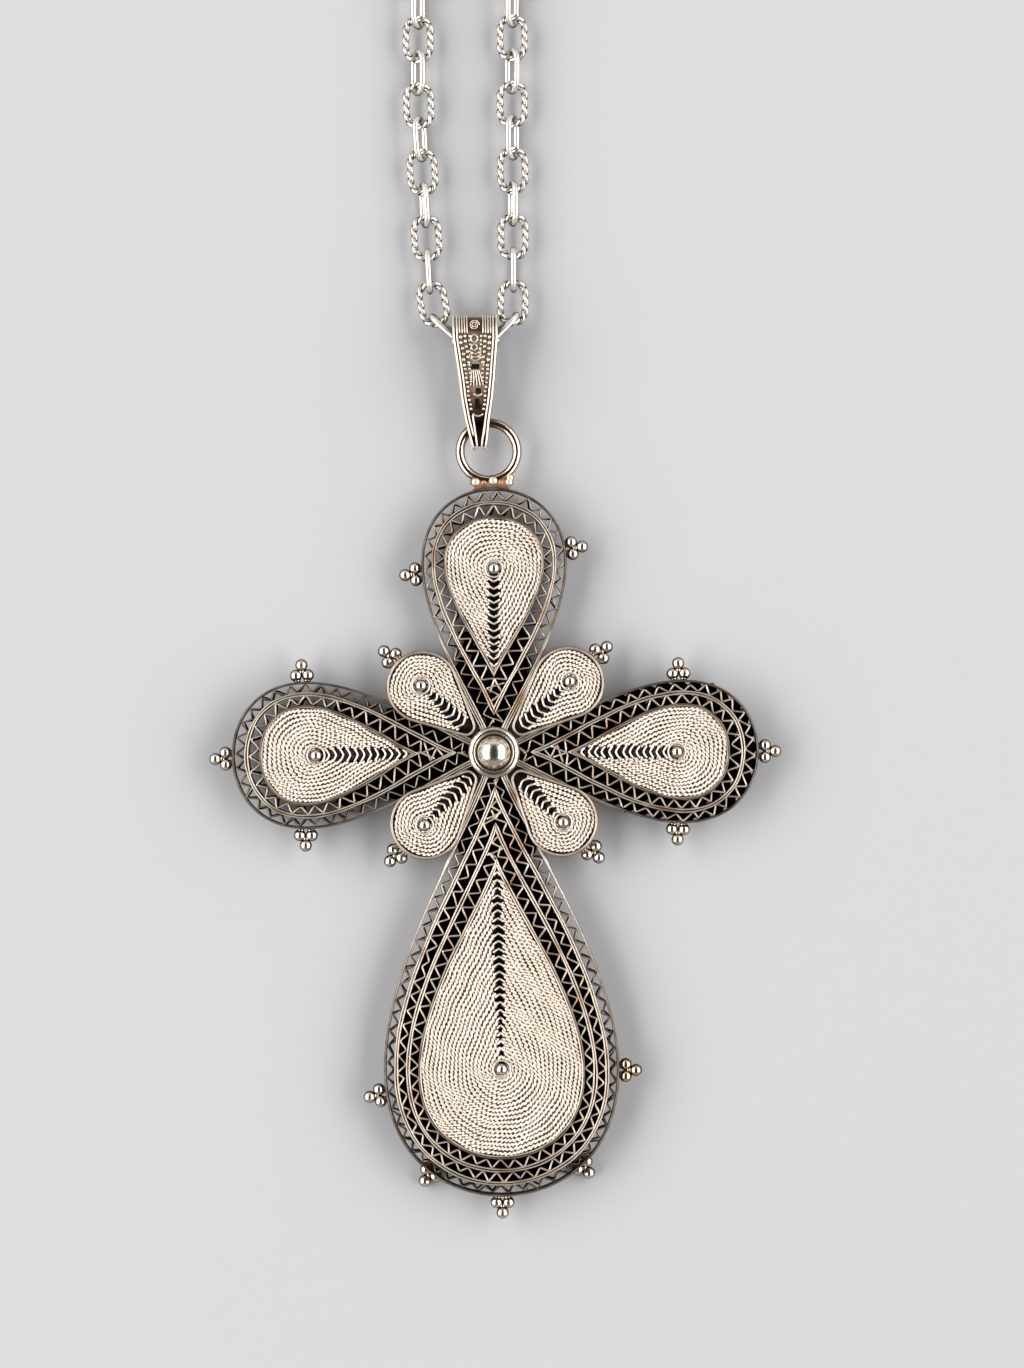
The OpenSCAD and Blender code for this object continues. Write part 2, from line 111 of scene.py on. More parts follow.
# %% Camera
VIEW_HEIGHT = 136.8
VIEW_CENTRE = (1.8, 6.8)
LENS = 100
SENSOR = 36

camera_data = bpy.data.cameras.new("camera")
camera_data.lens = LENS
camera_data.sensor_width = SENSOR
camera = bpy.data.objects.new("camera", camera_data)
camera.location = Vector((*VIEW_CENTRE, MID_Z + VIEW_HEIGHT * LENS / SENSOR)) * MM
bpy.context.collection.objects.link(camera)
bpy.context.scene.camera = camera
print("camera height", round(camera.location.z / MM), "mm")

# %% [markdown]
# ## Colours and nodes
# Colours are written as sRGB hex, as a colour picker shows them, and Blender's sockets want linear values.
# Materials and the room's light are node trees, and a small function keeps each node to one line.

# %% Colour and node helpers
def hex_colour(text):
    """sRGB hex to linear RGBA"""
    channels = [int(text[i:i + 2], 16) / 255 for i in (0, 2, 4)]
    return tuple(c / 12.92 if c <= 0.04045 else ((c + 0.055) / 1.055) ** 2.4 for c in channels) + (1,)


def add_node(tree, kind, settings=(), links=()):
    """One node with its settings, and its sockets set or linked"""
    made = tree.nodes.new("ShaderNode" + kind)
    for name, value in dict(settings).items():
        setattr(made, name, value)
    for name, value in dict(links).items():
        if isinstance(value, bpy.types.NodeSocket):
            tree.links.new(value, made.inputs[name])
        else:
            made.inputs[name].default_value = value
    return made


def fill_ramp(node, stops):
    """Puts colour stops, (place, hex), on a colour ramp"""
    points = node.color_ramp.elements
    while len(points) < len(stops):
        points.new(0.5)
    for point, (place, text) in zip(points, stops):
        point.position = place
        point.color = hex_colour(text)


print("hex 808080 is", round(hex_colour("808080")[0], 3), "in linear light")

# %% [markdown]
# ## Softboxes and a dark ceiling
# Silver shows what surrounds it, so the light decides the picture: a wide softbox on each side, a weaker
# one at the head and at the foot, and a dark ceiling. Slopes catch a softbox and flats reflect the ceiling,
# so a round wire shows bright lines on a dark ground. The boxes are large and far off, which keeps the
# surface evenly lit in a side view too.

# %% Softboxes
SIDE_BOX = (2250, 1075)
END_BOX = (2250, 750)
# place, size and power
SOFTBOXES = {
    "softbox_left": ((-1125, 50, 800), SIDE_BOX, 31),
    "softbox_right": ((1125, 50, 800), SIDE_BOX, 27.5),
    "softbox_foot": ((0, -1350, 575), END_BOX, 0.95),
    "softbox_head": ((0, 1450, 575), END_BOX, 3.1),
}
for name, (place, size, power) in SOFTBOXES.items():
    light = bpy.data.lights.new(name, "AREA")
    light.shape = "RECTANGLE"
    light.size, light.size_y = size[0] * MM, size[1] * MM
    light.energy = power
    lamp = bpy.data.objects.new(name, light)
    lamp.location = Vector(place) * MM
    # A lamp shines along its own -Z, here turned towards the middle of the cross
    lamp.rotation_euler = (-Vector(place)).to_track_quat("-Z", "Y").to_euler()
    bpy.context.collection.objects.link(lamp)
print("lights:", list(SOFTBOXES))

# %% [markdown]
# The room is a colour ramp along the height of each direction: grey at the horizon and nearly black
# overhead. A picture of a studio would serve too, but the ramp has only the few values that the metal
# shows.

# %% Room
CEILING = [(0.0, "7a7979"), (0.3, "6b6a6a"), (0.65, "5a5959"), (0.9, "141414"), (1.0, "0a0a0a")]

world = bpy.data.worlds.new("studio")
world.use_nodes = True
room = world.node_tree
way = add_node(room, "TexCoord").outputs["Generated"]
height = add_node(room, "SeparateXYZ", links={"Vector": way}).outputs["Z"]
sky = add_node(room, "ValToRGB", links={"Fac": height})
fill_ramp(sky, CEILING)
room.links.new(sky.outputs["Color"], room.nodes["Background"].inputs["Color"])
room.nodes["Background"].inputs["Strength"].default_value = 0.9
bpy.context.scene.world = world
bpy.context.scene.view_settings.view_transform = "Standard"
print("room:", len(CEILING), "greys from the horizon to the ceiling")

# %% [markdown]
# ## Finishes
# All of it is silver, and the finish tells the pieces apart. Bright silver has a pale warm grey reflection.
# Silver sulphide, the brown-black tarnish, stays in hollows that a polishing cloth can't reach. Each mesh
# carries a value called crest, 1 on what the cloth touches and 0 in the hollows, and it mixes the two. In
# some pieces crest also carries painted light and shade: darker sides on wires, balls and links, black wires
# in the depth of the frames, the ring under the bail, and brighter wires beside the boss.
#
# One function makes each silver: a ramp runs from tarnish to bright metal along crest, a cloud of noise
# moves its edge so that no two hollows match, and a finer noise gives the skin a small bump. A skin that
# scatters light, as burnt or tarnished silver does, has less than a full share of metal.

# %% Silver with tarnish in its hollows
# Brown stains, a few millimetres wide, lie where a coarse noise is high
STAIN = "a9794f"
STAIN_MM = 3.5
STAIN_FROM, STAIN_FULL = 0.56, 0.72


def stained(tree, place, colour, share):
    """A colour with brown stains on it; share is how brown they are"""
    patch = add_node(tree, "TexNoise", links={"Vector": place, "Scale": 1 / (STAIN_MM * MM), "Detail": 1})
    spots = add_node(tree, "MapRange", links={"Value": patch.outputs["Fac"], "From Min": STAIN_FROM,
                                              "From Max": STAIN_FULL, "To Max": share})
    return add_node(tree, "Mix", {"data_type": "RGBA", "blend_type": "MULTIPLY"},
                    {0: spots.outputs["Result"], 6: colour, 7: hex_colour(STAIN)}).outputs[2]


def tarnished_silver(name, stops, roughness, cloud_mm, cloud_share, grain_mm, grain_height, metallic=1,
                     stain=0):
    """Silver whose colour and roughness follow crest, from the hollows to the worn metal. Cloud and grain are
    sizes in millimetres, and stain is how brown its stains are"""
    material = bpy.data.materials.new(name)
    material.use_nodes = True
    tree = material.node_tree
    shader = tree.nodes["Principled BSDF"]
    shader.inputs["Metallic"].default_value = metallic
    place = add_node(tree, "TexCoord").outputs["Object"]
    cloud = add_node(tree, "TexNoise", links={"Vector": place, "Scale": 1 / (cloud_mm * MM), "Detail": 3})
    crest = add_node(tree, "Attribute", {"attribute_name": "crest"}).outputs["Fac"]
    moved = add_node(tree, "Math", {"operation": "SUBTRACT"}, {0: cloud.outputs["Fac"], 1: 0.5})
    spread = add_node(tree, "Math", {"operation": "MULTIPLY_ADD", "use_clamp": True},
                      {0: moved.outputs[0], 1: cloud_share, 2: crest}).outputs[0]
    ramp = add_node(tree, "ValToRGB", links={"Fac": spread})
    fill_ramp(ramp, stops)
    colour = ramp.outputs["Color"]
    if stain:
        colour = stained(tree, place, colour, stain)
    tree.links.new(colour, shader.inputs["Base Color"])
    wear = add_node(tree, "MapRange", links={"Value": spread, "To Min": roughness[0], "To Max": roughness[1]})
    tree.links.new(wear.outputs["Result"], shader.inputs["Roughness"])
    grain = add_node(tree, "TexNoise", links={"Vector": place, "Scale": 1 / (grain_mm * MM), "Detail": 2})
    bump = add_node(tree, "Bump", links={"Height": grain.outputs["Fac"], "Strength": 1,
                                         "Distance": grain_height * MM})
    tree.links.new(bump.outputs["Normal"], shader.inputs["Normal"])
    return material


print("stains are", STAIN_MM, "mm apart")

# %% [markdown]
# The kinds of silver on this cross differ in how they were worked: twisted, fired, rolled, blackened in a
# sulphur bath, melted, polished or washed with gold. The grain of a worked skin is finer than the render
# can show, so each grain below is drawn 0.1 to 0.25 mm wide, just coarse enough to soften a highlight.

# %% The silvers of this cross
# Fine silver, twisted and fired: the fire leaves a nearly white, softly shining crest over warm hollows
burnt_silver = tarnished_silver(
    "burnt_silver", [(0.0, "785943"), (0.25, "a58367"), (0.5, "d8bfa6"), (0.75, "f4e5d3"), (1.0, "fff7ed")],
    roughness=(0.55, 0.36), cloud_mm=0.7, cloud_share=0.4, grain_mm=0.12, grain_height=0.01, metallic=0.7)
# Flat wire, rolled and blackened in a bath: grey on the rubbed edges, nearly black below, stained in places
oxidised_silver = tarnished_silver(
    "oxidised_silver", [(0.0, "0a0807"), (0.3, "3d332a"), (0.55, "978778"), (0.8, "d3c3b1"), (1.0, "f3e6d6")],
    roughness=(0.5, 0.36), cloud_mm=1.1, cloud_share=0.35, grain_mm=0.1, grain_height=0.01, metallic=0.7,
    stain=0.6)
# A matt brown-black, painted shade in the depth of the frames and under the panels' loops, that makes the
# gaps between the wires read as holes
painted_shade_silver = tarnished_silver(
    "painted_shade_silver", [(0.0, "050404"), (1.0, "1c1815")],
    roughness=(0.7, 0.6), cloud_mm=1.5, cloud_share=0.6, grain_mm=0.1, grain_height=0.01)
# Melted or turned, then polished: small clear highlights beside deep reflections of the ceiling
polished_silver = tarnished_silver(
    "polished_silver", [(0.0, "1d1712"), (0.35, "6f6253"), (0.65, "cfc1ae"), (1.0, "f6ede1")],
    roughness=(0.45, 0.22), cloud_mm=0.9, cloud_share=0.25, grain_mm=0.25, grain_height=0.006)
# Drawn wire with a thin wash of gold, polished: a pinkish brown tone that runs with the highlight
gilded_silver = tarnished_silver(
    "gilded_silver", [(0.0, "1d120b"), (0.35, "6a4933"), (0.7, "bd9678"), (1.0, "efd3bb")],
    roughness=(0.42, 0.18), cloud_mm=1.2, cloud_share=0.4, grain_mm=0.2, grain_height=0.008)
# Silver solder, melted and left as it set: tan and mottled, with wide dull highlights
solder_silver = tarnished_silver(
    "solder_silver", [(0.0, "2e1f15"), (0.35, "8a6547"), (0.7, "c9a380"), (1.0, "f5e4d0")],
    roughness=(0.6, 0.36), cloud_mm=0.7, cloud_share=0.9, grain_mm=0.15, grain_height=0.012, metallic=0.6)
# Rolled sheet and fine wire, worn by the chain: pale warm wires over a brown ground
bail_silver = tarnished_silver(
    "bail_silver", [(0.0, "0d0907"), (0.25, "6b5038"), (0.5, "b89c7f"), (0.75, "e3d0bb"), (1.0, "f8ecdd")],
    roughness=(0.5, 0.32), cloud_mm=0.9, cloud_share=0.3, grain_mm=0.12, grain_height=0.01, metallic=0.66)
# Drawn wire, bright from rubbing on its neighbours: a cooler grey than the cross
chain_silver = tarnished_silver(
    "chain_silver", [(0.0, "120f0d"), (0.25, "4d4339"), (0.5, "c6bbad"), (0.75, "eee6da"), (1.0, "fbf5ea")],
    roughness=(0.48, 0.27), cloud_mm=1.5, cloud_share=0.25, grain_mm=0.2, grain_height=0.008, metallic=0.7)
print("finishes:", [m.name for m in bpy.data.materials if m.name.endswith("silver")])

# %% [markdown]
# ## Floor
# A pale painted board, matt so that it takes soft shadows and throws no highlight. It is a plane far wider
# than the view, and it counts as part of the stage, not of the necklace.

# %% Pale floor
FLOOR_SIZE = 8000
FLOOR_GAP = 0.02

bpy.ops.mesh.primitive_plane_add(size=FLOOR_SIZE * MM, location=(0, 0, -FLOOR_GAP * MM))
floor = bpy.context.object
floor.name = "floor"
painted_board = bpy.data.materials.new("painted_board")
painted_board.use_nodes = True
board = painted_board.node_tree.nodes["Principled BSDF"]
board.inputs["Base Color"].default_value = hex_colour("c4c3c4")
board.inputs["Roughness"].default_value = 0.85
floor.data.materials.append(painted_board)
floor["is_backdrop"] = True
print("floor", FLOOR_SIZE, "mm wide")

# %% [markdown]
# ## A bench of helpers
# A wire is a section carried along a path. Curves with a bevel could do that, but a mesh made from arrays
# can also twist, swell and thin along its way, and it can store crest. Each helper returns a part: points,
# faces and crest. A piece is many parts joined in one mesh.

# %% Faces of a grid and of a cap
def grid_faces(rows, columns, round_rows=False, round_columns=True):
    """Faces between the points of a grid; a round direction closes on itself"""
    a, b = np.meshgrid(np.arange(rows if round_rows else rows - 1),
                       np.arange(columns if round_columns else columns - 1), indexing="ij")
    a, b = a.ravel(), b.ravel()
    a2, b2 = (a + 1) % rows, (b + 1) % columns
    return np.column_stack([a * columns + b, a2 * columns + b, a2 * columns + b2, a * columns + b2])


def fan(tip, ring):
    """Three-cornered faces from a point to each step of a ring, with the last corner given twice"""
    after = np.roll(ring, -1)
    return np.column_stack([np.full(len(ring), tip), ring, after, after])


UNDER_FAN = [0, 2, 1, 1]
print("a round strip of 2 by 8 points has", len(grid_faces(2, 8)), "faces")

# %% [markdown]
# Along the path, each section stands square to the way ahead and keeps one side level, so that a flat wire
# doesn't roll over. Where a wire lies on a slope, as on the bail, the direction that counts as up is given
# point by point.

# %% Carry a section along a path
UP = np.array([0.0, 0.0, 1.0])


def sweep(path, section, closed=True, around_too=True, up=UP):
    """Points and faces of a section, one (side, height) list or one list per path point, along a path"""
    path = np.asarray(path, float)
    if path.shape[1] == 2:
        path = np.column_stack([path, np.zeros(len(path))])
    ahead = np.roll(path, -1, 0) - np.roll(path, 1, 0) if closed else np.gradient(path, axis=0)
    ahead /= np.linalg.norm(ahead, axis=1, keepdims=True)
    side = np.cross(ahead, up)
    side /= np.linalg.norm(side, axis=1, keepdims=True)
    lift = np.cross(side, ahead)
    section = np.asarray(section, float)
    if section.ndim == 2:
        section = np.broadcast_to(section, (len(path),) + section.shape)
    points = path[:, None] + side[:, None] * section[..., :1] + lift[:, None] * section[..., 1:]
    return points.reshape(-1, 3), grid_faces(len(path), section.shape[1], closed, around_too)


def close_ends(points, faces, around):
    """Adds a middle point at both ends of an open tube, and faces to it"""
    count = len(points)
    caps = np.array([points[:around].mean(0), points[-around:].mean(0)])
    first = fan(count, np.arange(around))
    last = fan(count + 1, np.arange(count - around, count))[:, UNDER_FAN]
    return np.vstack([points, caps]), np.vstack([faces, first, last])


def round_section(width, height=None, corners=8):
    """Points of a round or oval section"""
    turn = np.arange(corners) * 2 * math.pi / corners
    return np.column_stack([np.cos(turn) * width / 2, np.sin(turn) * (height or width) / 2])


def rubbed_and_shaded(up_share, low=0.12, high=1.0):
    """Crest of a surface that is rubbed on top and dark at its sides, partly tarnish and partly painted
    shade:
    up_share is 1 where it looks up and 0 at its sides
    """
    rise = np.clip((up_share - 0.2) / 0.5, 0, 1)
    return low + (high - low) * rise * rise * (3 - 2 * rise)


def tube(path, width, corners=8, closed=True, low=0.12, up=UP):
    """Round wire along a path, brightest on top where it is rubbed, and darker at its sides with tarnish and
    painted shade
    """
    section = round_section(width, corners=corners)
    points, faces = sweep(path, section, closed=closed, up=up)
    crest = np.tile(rubbed_and_shaded(section[:, 1] * 2 / width, low), len(path))
    if not closed:
        points, faces = close_ends(points, faces, corners)
        crest = np.append(crest, [low, low])
    return points, faces, crest


print("crest on top", rubbed_and_shaded(1.0), "and at the sides", rubbed_and_shaded(0.0))

# %% [markdown]
# The arms are drops. A drop's side follows a sine, pulled towards its round end by a second sine, which
# gives the pointed start and the full end in one formula. DROP_FULLNESS says how strong the pull is.

# %% Paths: drops, even steps, turns
def drop_shape(turn):
    """Side of a drop at each angle of its turn, before scaling"""
    return np.sin(turn) * np.abs(np.sin(turn / 2)) ** DROP_FULLNESS


DROP_PEAK = drop_shape(2 * math.asin(math.sqrt((DROP_FULLNESS + 1) / (DROP_FULLNESS + 2))))


def drop(start, end, half, count=720):
    """Closed drop along +X"""
    turn = np.arange(count) * 2 * math.pi / count
    return np.column_stack([start + (end - start) * (1 - np.cos(turn)) / 2,
                            half * drop_shape(turn) / DROP_PEAK])


def arm_drop(arm, depth):
    """Drop of an arm, 0 at the outside of its rim and 1 at the edge of its panel"""
    return drop(arm["panel"] * depth, arm["length"] - arm["end_in"] * depth,
                arm["half"] - arm["side_in"] * depth)


def even(path, step, closed=True):
    """The same path in even steps"""
    path = np.asarray(path, float)
    line = np.vstack([path, path[:1]]) if closed else path
    length = np.concatenate([[0], np.cumsum(np.linalg.norm(np.diff(line, axis=0), axis=1))])
    count = max(4, int(round(length[-1] / step)))
    at = np.arange(count) * length[-1] / count if closed else np.linspace(0, length[-1], count + 1)
    return np.column_stack([np.interp(at, length, line[:, k]) for k in range(line.shape[1])])


def turned(points, degrees):
    """Points turned about the middle of the cross"""
    c, s = math.cos(math.radians(degrees)), math.sin(math.radians(degrees))
    x, y = points[:, 0] * c - points[:, 1] * s, points[:, 0] * s + points[:, 1] * c
    return np.column_stack([x, y, points[:, 2]])


def turned_parts(parts, degrees):
    return [(turned(part[0], degrees), *part[1:]) for part in parts]


print("widest place of the drop formula:", round(float(DROP_PEAK), 3))

# %% [markdown]
# Parts become a piece in one mesh: their points are stacked, their faces shifted to match, and crest is
# kept with each point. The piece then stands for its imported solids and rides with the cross.

# %% Join the parts of a piece
def make_piece(name, parts, finishes, stands_for):
    """Joins parts, each (points in mm, faces, crest, number of its finish), in one object"""
    starts = np.cumsum([0] + [len(p[0]) for p in parts])
    points = np.vstack([p[0] for p in parts]) * MM
    loops, sizes, finish = [], [], []
    for part, start in zip(parts, starts):
        faces = part[1] + start
        is_corner = faces[:, 2] == faces[:, 3]
        for chosen, corners in ((faces[~is_corner], 4), (faces[is_corner][:, :3], 3)):
            loops.append(chosen.ravel())
            sizes.append(np.full(len(chosen), corners))
            finish.append(np.full(len(chosen), part[3]))
    loops, sizes, finish = (np.concatenate(group).astype(np.int32) for group in (loops, sizes, finish))
    mesh = bpy.data.meshes.new(name)
    mesh.vertices.add(len(points))
    mesh.vertices.foreach_set("co", points.ravel().astype(np.float32))
    mesh.loops.add(len(loops))
    mesh.loops.foreach_set("vertex_index", loops)
    mesh.polygons.add(len(sizes))
    mesh.polygons.foreach_set("loop_start", np.append(0, np.cumsum(sizes)[:-1]).astype(np.int32))
    mesh.polygons.foreach_set("material_index", finish)
    mesh.polygons.foreach_set("use_smooth", np.ones(len(sizes), bool))
    mesh.update(calc_edges=True)
    crest = np.concatenate([np.broadcast_to(p[2], len(p[0])) for p in parts])
    mesh.attributes.new("crest", "FLOAT", "POINT").data.foreach_set("value", crest.astype(np.float32))
    for material in finishes:
        mesh.materials.append(material)
    piece = bpy.data.objects.new(name, mesh)
    bpy.context.collection.objects.link(piece)
    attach(piece, "root")
    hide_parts(*stands_for)
    print(f"{name}: {len(parts)} parts, {int((sizes - 2).sum())} triangles")

# %% [markdown]
# ## Rims
# A rim is flat wire standing on edge, bent to a drop. The outer rim is three such wires that part near the
# boss and close up farther out, and two wires run between the bands. They are bright beside the boss and
# grey at the round ends, so their crest depends on the way from the middle. The brightness beside the boss
# is partly a cloth that rubs them where they rise, and partly painted light where the petals and boss shade
# them.

# %% Rim of flat wire on edge
# Side, as a share of half the width, and height of the rounded edge, in millimetres from its top
ROUNDED_EDGE = np.array([(-1, -0.16), (-0.62, -0.03), (0, 0), (0.62, -0.03), (1, -0.16)])
EDGE_TARNISH = 4.5  # how fast crest falls below the top of the edge, per millimetre
HUB_REACH = 14  # how far from the middle the wires of the outer rim lie apart


def near_hub(points, reach=HUB_REACH):
    """1 beside the boss, 0 beyond reach from the middle"""
    return np.clip(1.6 - 1.6 * np.hypot(points[:, 0], points[:, 1]) / reach, 0, 1)


def worn_and_lit(least, reach):
    """Crest along a wire: 1 beside the boss, where it is rubbed and also painted light against the shade
    there, falling to least at reach
    """
    return lambda points: least + (1 - least) * near_hub(points, reach)


def dull(points):
    """Crest 0 for the black wires in the depth of a band, which are painted shade"""
    return np.zeros(len(points))


def rim(path, low, high, width, bright, aside=0.0):
    """Flat wire on edge from low to high; aside, its shift sideways, may change along the path"""
    side, down = ROUNDED_EDGE.T
    unit = np.column_stack([np.append(side, side[::-1]) * width / 2,
                            np.append(high + down, low - down[::-1])])
    section = np.repeat(unit[None], len(path), 0)
    section[..., 0] += np.broadcast_to(aside, len(path))[:, None]
    points, faces = sweep(path, section)
    crest = 1 + down * EDGE_TARNISH
    return points, faces, (bright(path)[:, None] * np.append(crest, crest[::-1])).ravel()


def swing(path, size):
    """Smooth small shift along a path, for the maker's hand"""
    turn = np.arange(len(path)) * 2 * math.pi / len(path)
    return sum(size * np.sin(turn * k + rng.uniform(0, 6.28)) for k in (5, 9, 16))


print("a rim's edge has", len(ROUNDED_EDGE), "points across")

# %% [markdown]
# Each rim stands a little higher than the one outside it, so the frame climbs towards its panel in steps.

# %% Rims of an arm
def rim_top(arm, number):
    """Height of a rim; each rim stands higher than the one outside it"""
    return MID_Z + RIM_HEIGHT / 2 + RIM_RISE * number / arm["bands"]


def rim_middle(arm, number):
    """Depth of a rim's middle; the outer rim is thinner than the others"""
    wire = RIM_WIRE / arm["end_in"]
    return min(max(number / arm["bands"], wire / 3), 1 - wire / 4)


# Width, least crest and shift inwards of each wire in a rim
OUTER_RIM = [(0.23, 0.45, 0), (0.2, 0.95, 0.24), (0.2, 0.8, 0.47)]
PANEL_RIM = [(0.2, 0.5, 0)]
MIDDLE_LEAST = {"top": 0.9, "left": 0.95, "right": 0.95, "bottom": 0.95}
# How far from the middle of the cross the wires are rubbed bright and painted light
REACH = {"top": 16, "left": 15, "right": 15, "bottom": 31}


def arm_rims(arm_name, arm):
    """Flat wires of all rims of an arm, from the outside to the panel"""
    parts = []
    for number in range(arm["bands"] + 1):
        path = even(arm_drop(arm, rim_middle(arm, number)), 0.45)
        top = rim_top(arm, number)
        if number == 0:
            wires = OUTER_RIM
        elif number < arm["bands"]:
            least = MIDDLE_LEAST[arm_name]
            wires = [(0.19, least, -0.12), (0.19, least * 0.9, 0.12)]
        else:
            wires = PANEL_RIM
        for k, (width, least, inwards) in enumerate(wires):
            inwards = inwards * near_hub(path) if number == 0 else inwards + swing(path, 0.015)
            flat_wire = rim(path, CROSS_DEPTH - top, top - 0.03 * k, width, worn_and_lit(least, REACH[arm_name]),
                            -inwards)
            parts.append((*flat_wire, 0))
    return parts


print("rims from", round(rim_top(ARMS["top"], 0), 2), "to", round(rim_top(ARMS["top"], 2), 2), "mm high")

# %% [markdown]
# ## Zigzag
# Between two rims lies a zigzag of finer flat wire, once at the front and once at the back, so that the eye
# sees two lattices behind each other. Black wires between them are painted shade that makes the depth dark. A
# texture could fake the two lattices, but only real wires cast these shadows. The corners are found on the
# two rims, and each gets a small random shift, as bent by hand.

# %% Zigzag of finer wire
ZIG_STEP = 0.78
TIP_STEP = 0.62
ZIG_WIDTH = 0.22
ZIG_HEIGHT = 0.36
ZIG_CREST = [0.35, 0.85, 1, 0.85, 0.35, 0, 0]
BEND = 0.22  # share of a leg that its bend takes up
WIDEST = 1.9  # longer legs would leave the band
EVERYWHERE = 99


def bent_wire(corners, z, bright, width):
    """Flat wire with rounded bends at its corners"""
    path = []
    for i, corner in enumerate(corners):
        before = corners[max(i - 1, 0)] - corner
        after = corners[min(i + 1, len(corners) - 1)] - corner
        path += [corner + before * BEND, corner + (before + after) * 0.035, corner + after * BEND]
    path = np.array(path[1:-1])
    heights = np.repeat(rng.normal(0, 0.03, len(path) // 3 + 1), 3)[:len(path)]
    path = np.column_stack([path, z + heights])
    half = width / 2
    section = [(-half, -0.12), (-half * 0.6, -0.03), (0, 0), (half * 0.6, -0.03), (half, -0.12),
               (half, -ZIG_HEIGHT), (-half, -ZIG_HEIGHT)]
    points, faces = sweep(path, section, closed=False)
    shine = bright(path) * rng.uniform(0.7, 1.05, len(path))
    points, faces = close_ends(points, faces, len(section))
    return points, faces, np.append((shine[:, None] * ZIG_CREST).ravel(), [0, 0])


def zigzag(outer, inner, z, start, bright, width, far=EVERYWHERE):
    """Zigzag between two rims, from each even step on the outer one to the nearest place on the inner one, as
    far as far from the middle of the cross"""
    steps = even(outer, ZIG_STEP)
    steps = np.roll(steps, -int(len(steps) * start), 0)
    near = inner[np.argmin(((steps[:, None] - inner[None]) ** 2).sum(-1), axis=1)]
    kept = (np.linalg.norm(near - steps, axis=1) < WIDEST) & (np.hypot(*steps.T) < far)
    runs, run = [], []
    for i in range(len(steps)):
        if kept[i]:
            jitter = rng.normal(0, 0.09, 2)
            run.append((steps[i] if i % 2 == 0 else near[i]) + jitter)
        elif run:
            runs.append(run)
            run = []
    runs.append(run)
    return [bent_wire(np.array(r), z, bright, width) for r in runs if len(r) > 3]


def tip_zigzag(path, near, far, z, bright, width):
    """Zigzag across the point of a drop, between its two sides"""
    upper = path[path[:, 1] > 0]
    upper = upper[np.argsort(upper[:, 0])]
    ways = np.arange(near, far, TIP_STEP)
    halves = np.interp(ways, upper[:, 0], upper[:, 1])
    halves[1::2] *= -1
    return [bent_wire(np.column_stack([ways, halves]), z, bright, width)] if len(ways) > 3 else []


print("zigzag of", ZIG_WIDTH, "mm wire with a corner each", ZIG_STEP, "mm")

# %% [markdown]
# A band has four layers: a rubbed zigzag in front, two of black wire at mid depth, which are painted shade,
# and one behind. The black ones start at the boss. On the upper and the left arm they end early, and light
# falls through the round end. On the right arm and in the inner bands of the foot they go all the way round,
# and there the zigzag behind is black too.

# %% Bands of the frames
HUB = 2.2  # the boss covers what lies nearer to the middle
DARK_WIRE = 0.9
# How far from the middle the depth of each band holds black wires, painted shade, from the outer band to
# the inner one
DARK_TO = {"top": (10, 12.5), "left": (12, 16.5), "right": (EVERYWHERE, EVERYWHERE),
           "bottom": (11, EVERYWHERE, EVERYWHERE)}
# How bright the outer band's finer zigzag stays far from the middle; the right arm's is like the others
OUTER_SHINE = {"top": 0.9, "left": 0.6, "bottom": 0.45}
BACK_SHINE = 0.35


def arm_bands(arm_name, arm):
    """Zigzags of all bands of an arm: a bright one in front and one behind, with dark ones between"""
    wire = RIM_WIRE / arm["end_in"]
    parts = []
    for number, dark in enumerate(DARK_TO[arm_name]):
        depth, next_depth = rim_middle(arm, number), rim_middle(arm, number + 1)
        last = number + 1 == arm["bands"]
        outer = even(arm_drop(arm, depth + wire / 2), 0.1)
        inner = even(arm_drop(arm, next_depth - wire / (8 if last else 2)), 0.1)
        outer_dark = even(arm_drop(arm, depth + wire * 0.9), 0.1)
        tips = (max(depth * arm["panel"] + 1.2, HUB), next_depth * arm["panel"])
        top = rim_top(arm, number) - 0.04
        least, width = 1.0, ZIG_WIDTH
        if number == 0 and arm_name in OUTER_SHINE:
            least, width = OUTER_SHINE[arm_name], ZIG_WIDTH * 0.8
        # Painted shade: where a band's black wires go all the way round, its back zigzag is black too
        back_finish = 1 if dark == EVERYWHERE else 0
        for z, start, shine, finish in ((top, 0.0, least, 0),
                                        (CROSS_DEPTH - top + ZIG_HEIGHT, 0.006, BACK_SHINE, back_finish)):
            bright = worn_and_lit(shine, REACH[arm_name])
            wires = zigzag(outer, inner, z, start, bright, width)
            parts += [(*w, finish) for w in wires + tip_zigzag(outer, *tips, z, bright, ZIG_WIDTH)]
        # Painted shade: two layers of black wire at mid depth, as far out as DARK_TO says
        for z, start in ((MID_Z + 0.1, 0.003), (MID_Z - 0.45, 0.012)):
            wires = zigzag(outer_dark, inner, z, start, dull, DARK_WIRE, dark)
            parts += [(*w, 1) for w in wires + tip_zigzag(outer_dark, *tips, z, dull, DARK_WIRE)]
    return parts


print("bands:", {name: arm["bands"] for name, arm in ARMS.items()})

# %% [markdown]
# Each frame is one piece, as it is soldered in the real cross. What would lie inside the boss is left out,
# because the boss has its own piece.

# %% Build the four frames
def clear_of_hub(part):
    """Leaves out the faces that would lie inside the boss"""
    points, faces, crest, finish = part
    keep = np.hypot(*points[:, :2].T)[faces].min(1) > HUB
    return points, faces[keep], crest, finish


for arm_name, arm in ARMS.items():
    parts = [clear_of_hub(part) for part in arm_rims(arm_name, arm) + arm_bands(arm_name, arm)]
    make_piece(f"frame_{arm_name}_wires", turned_parts(parts, arm["turn"]), [oxidised_silver, painted_shade_silver],
               [f"frame_{arm_name}"])

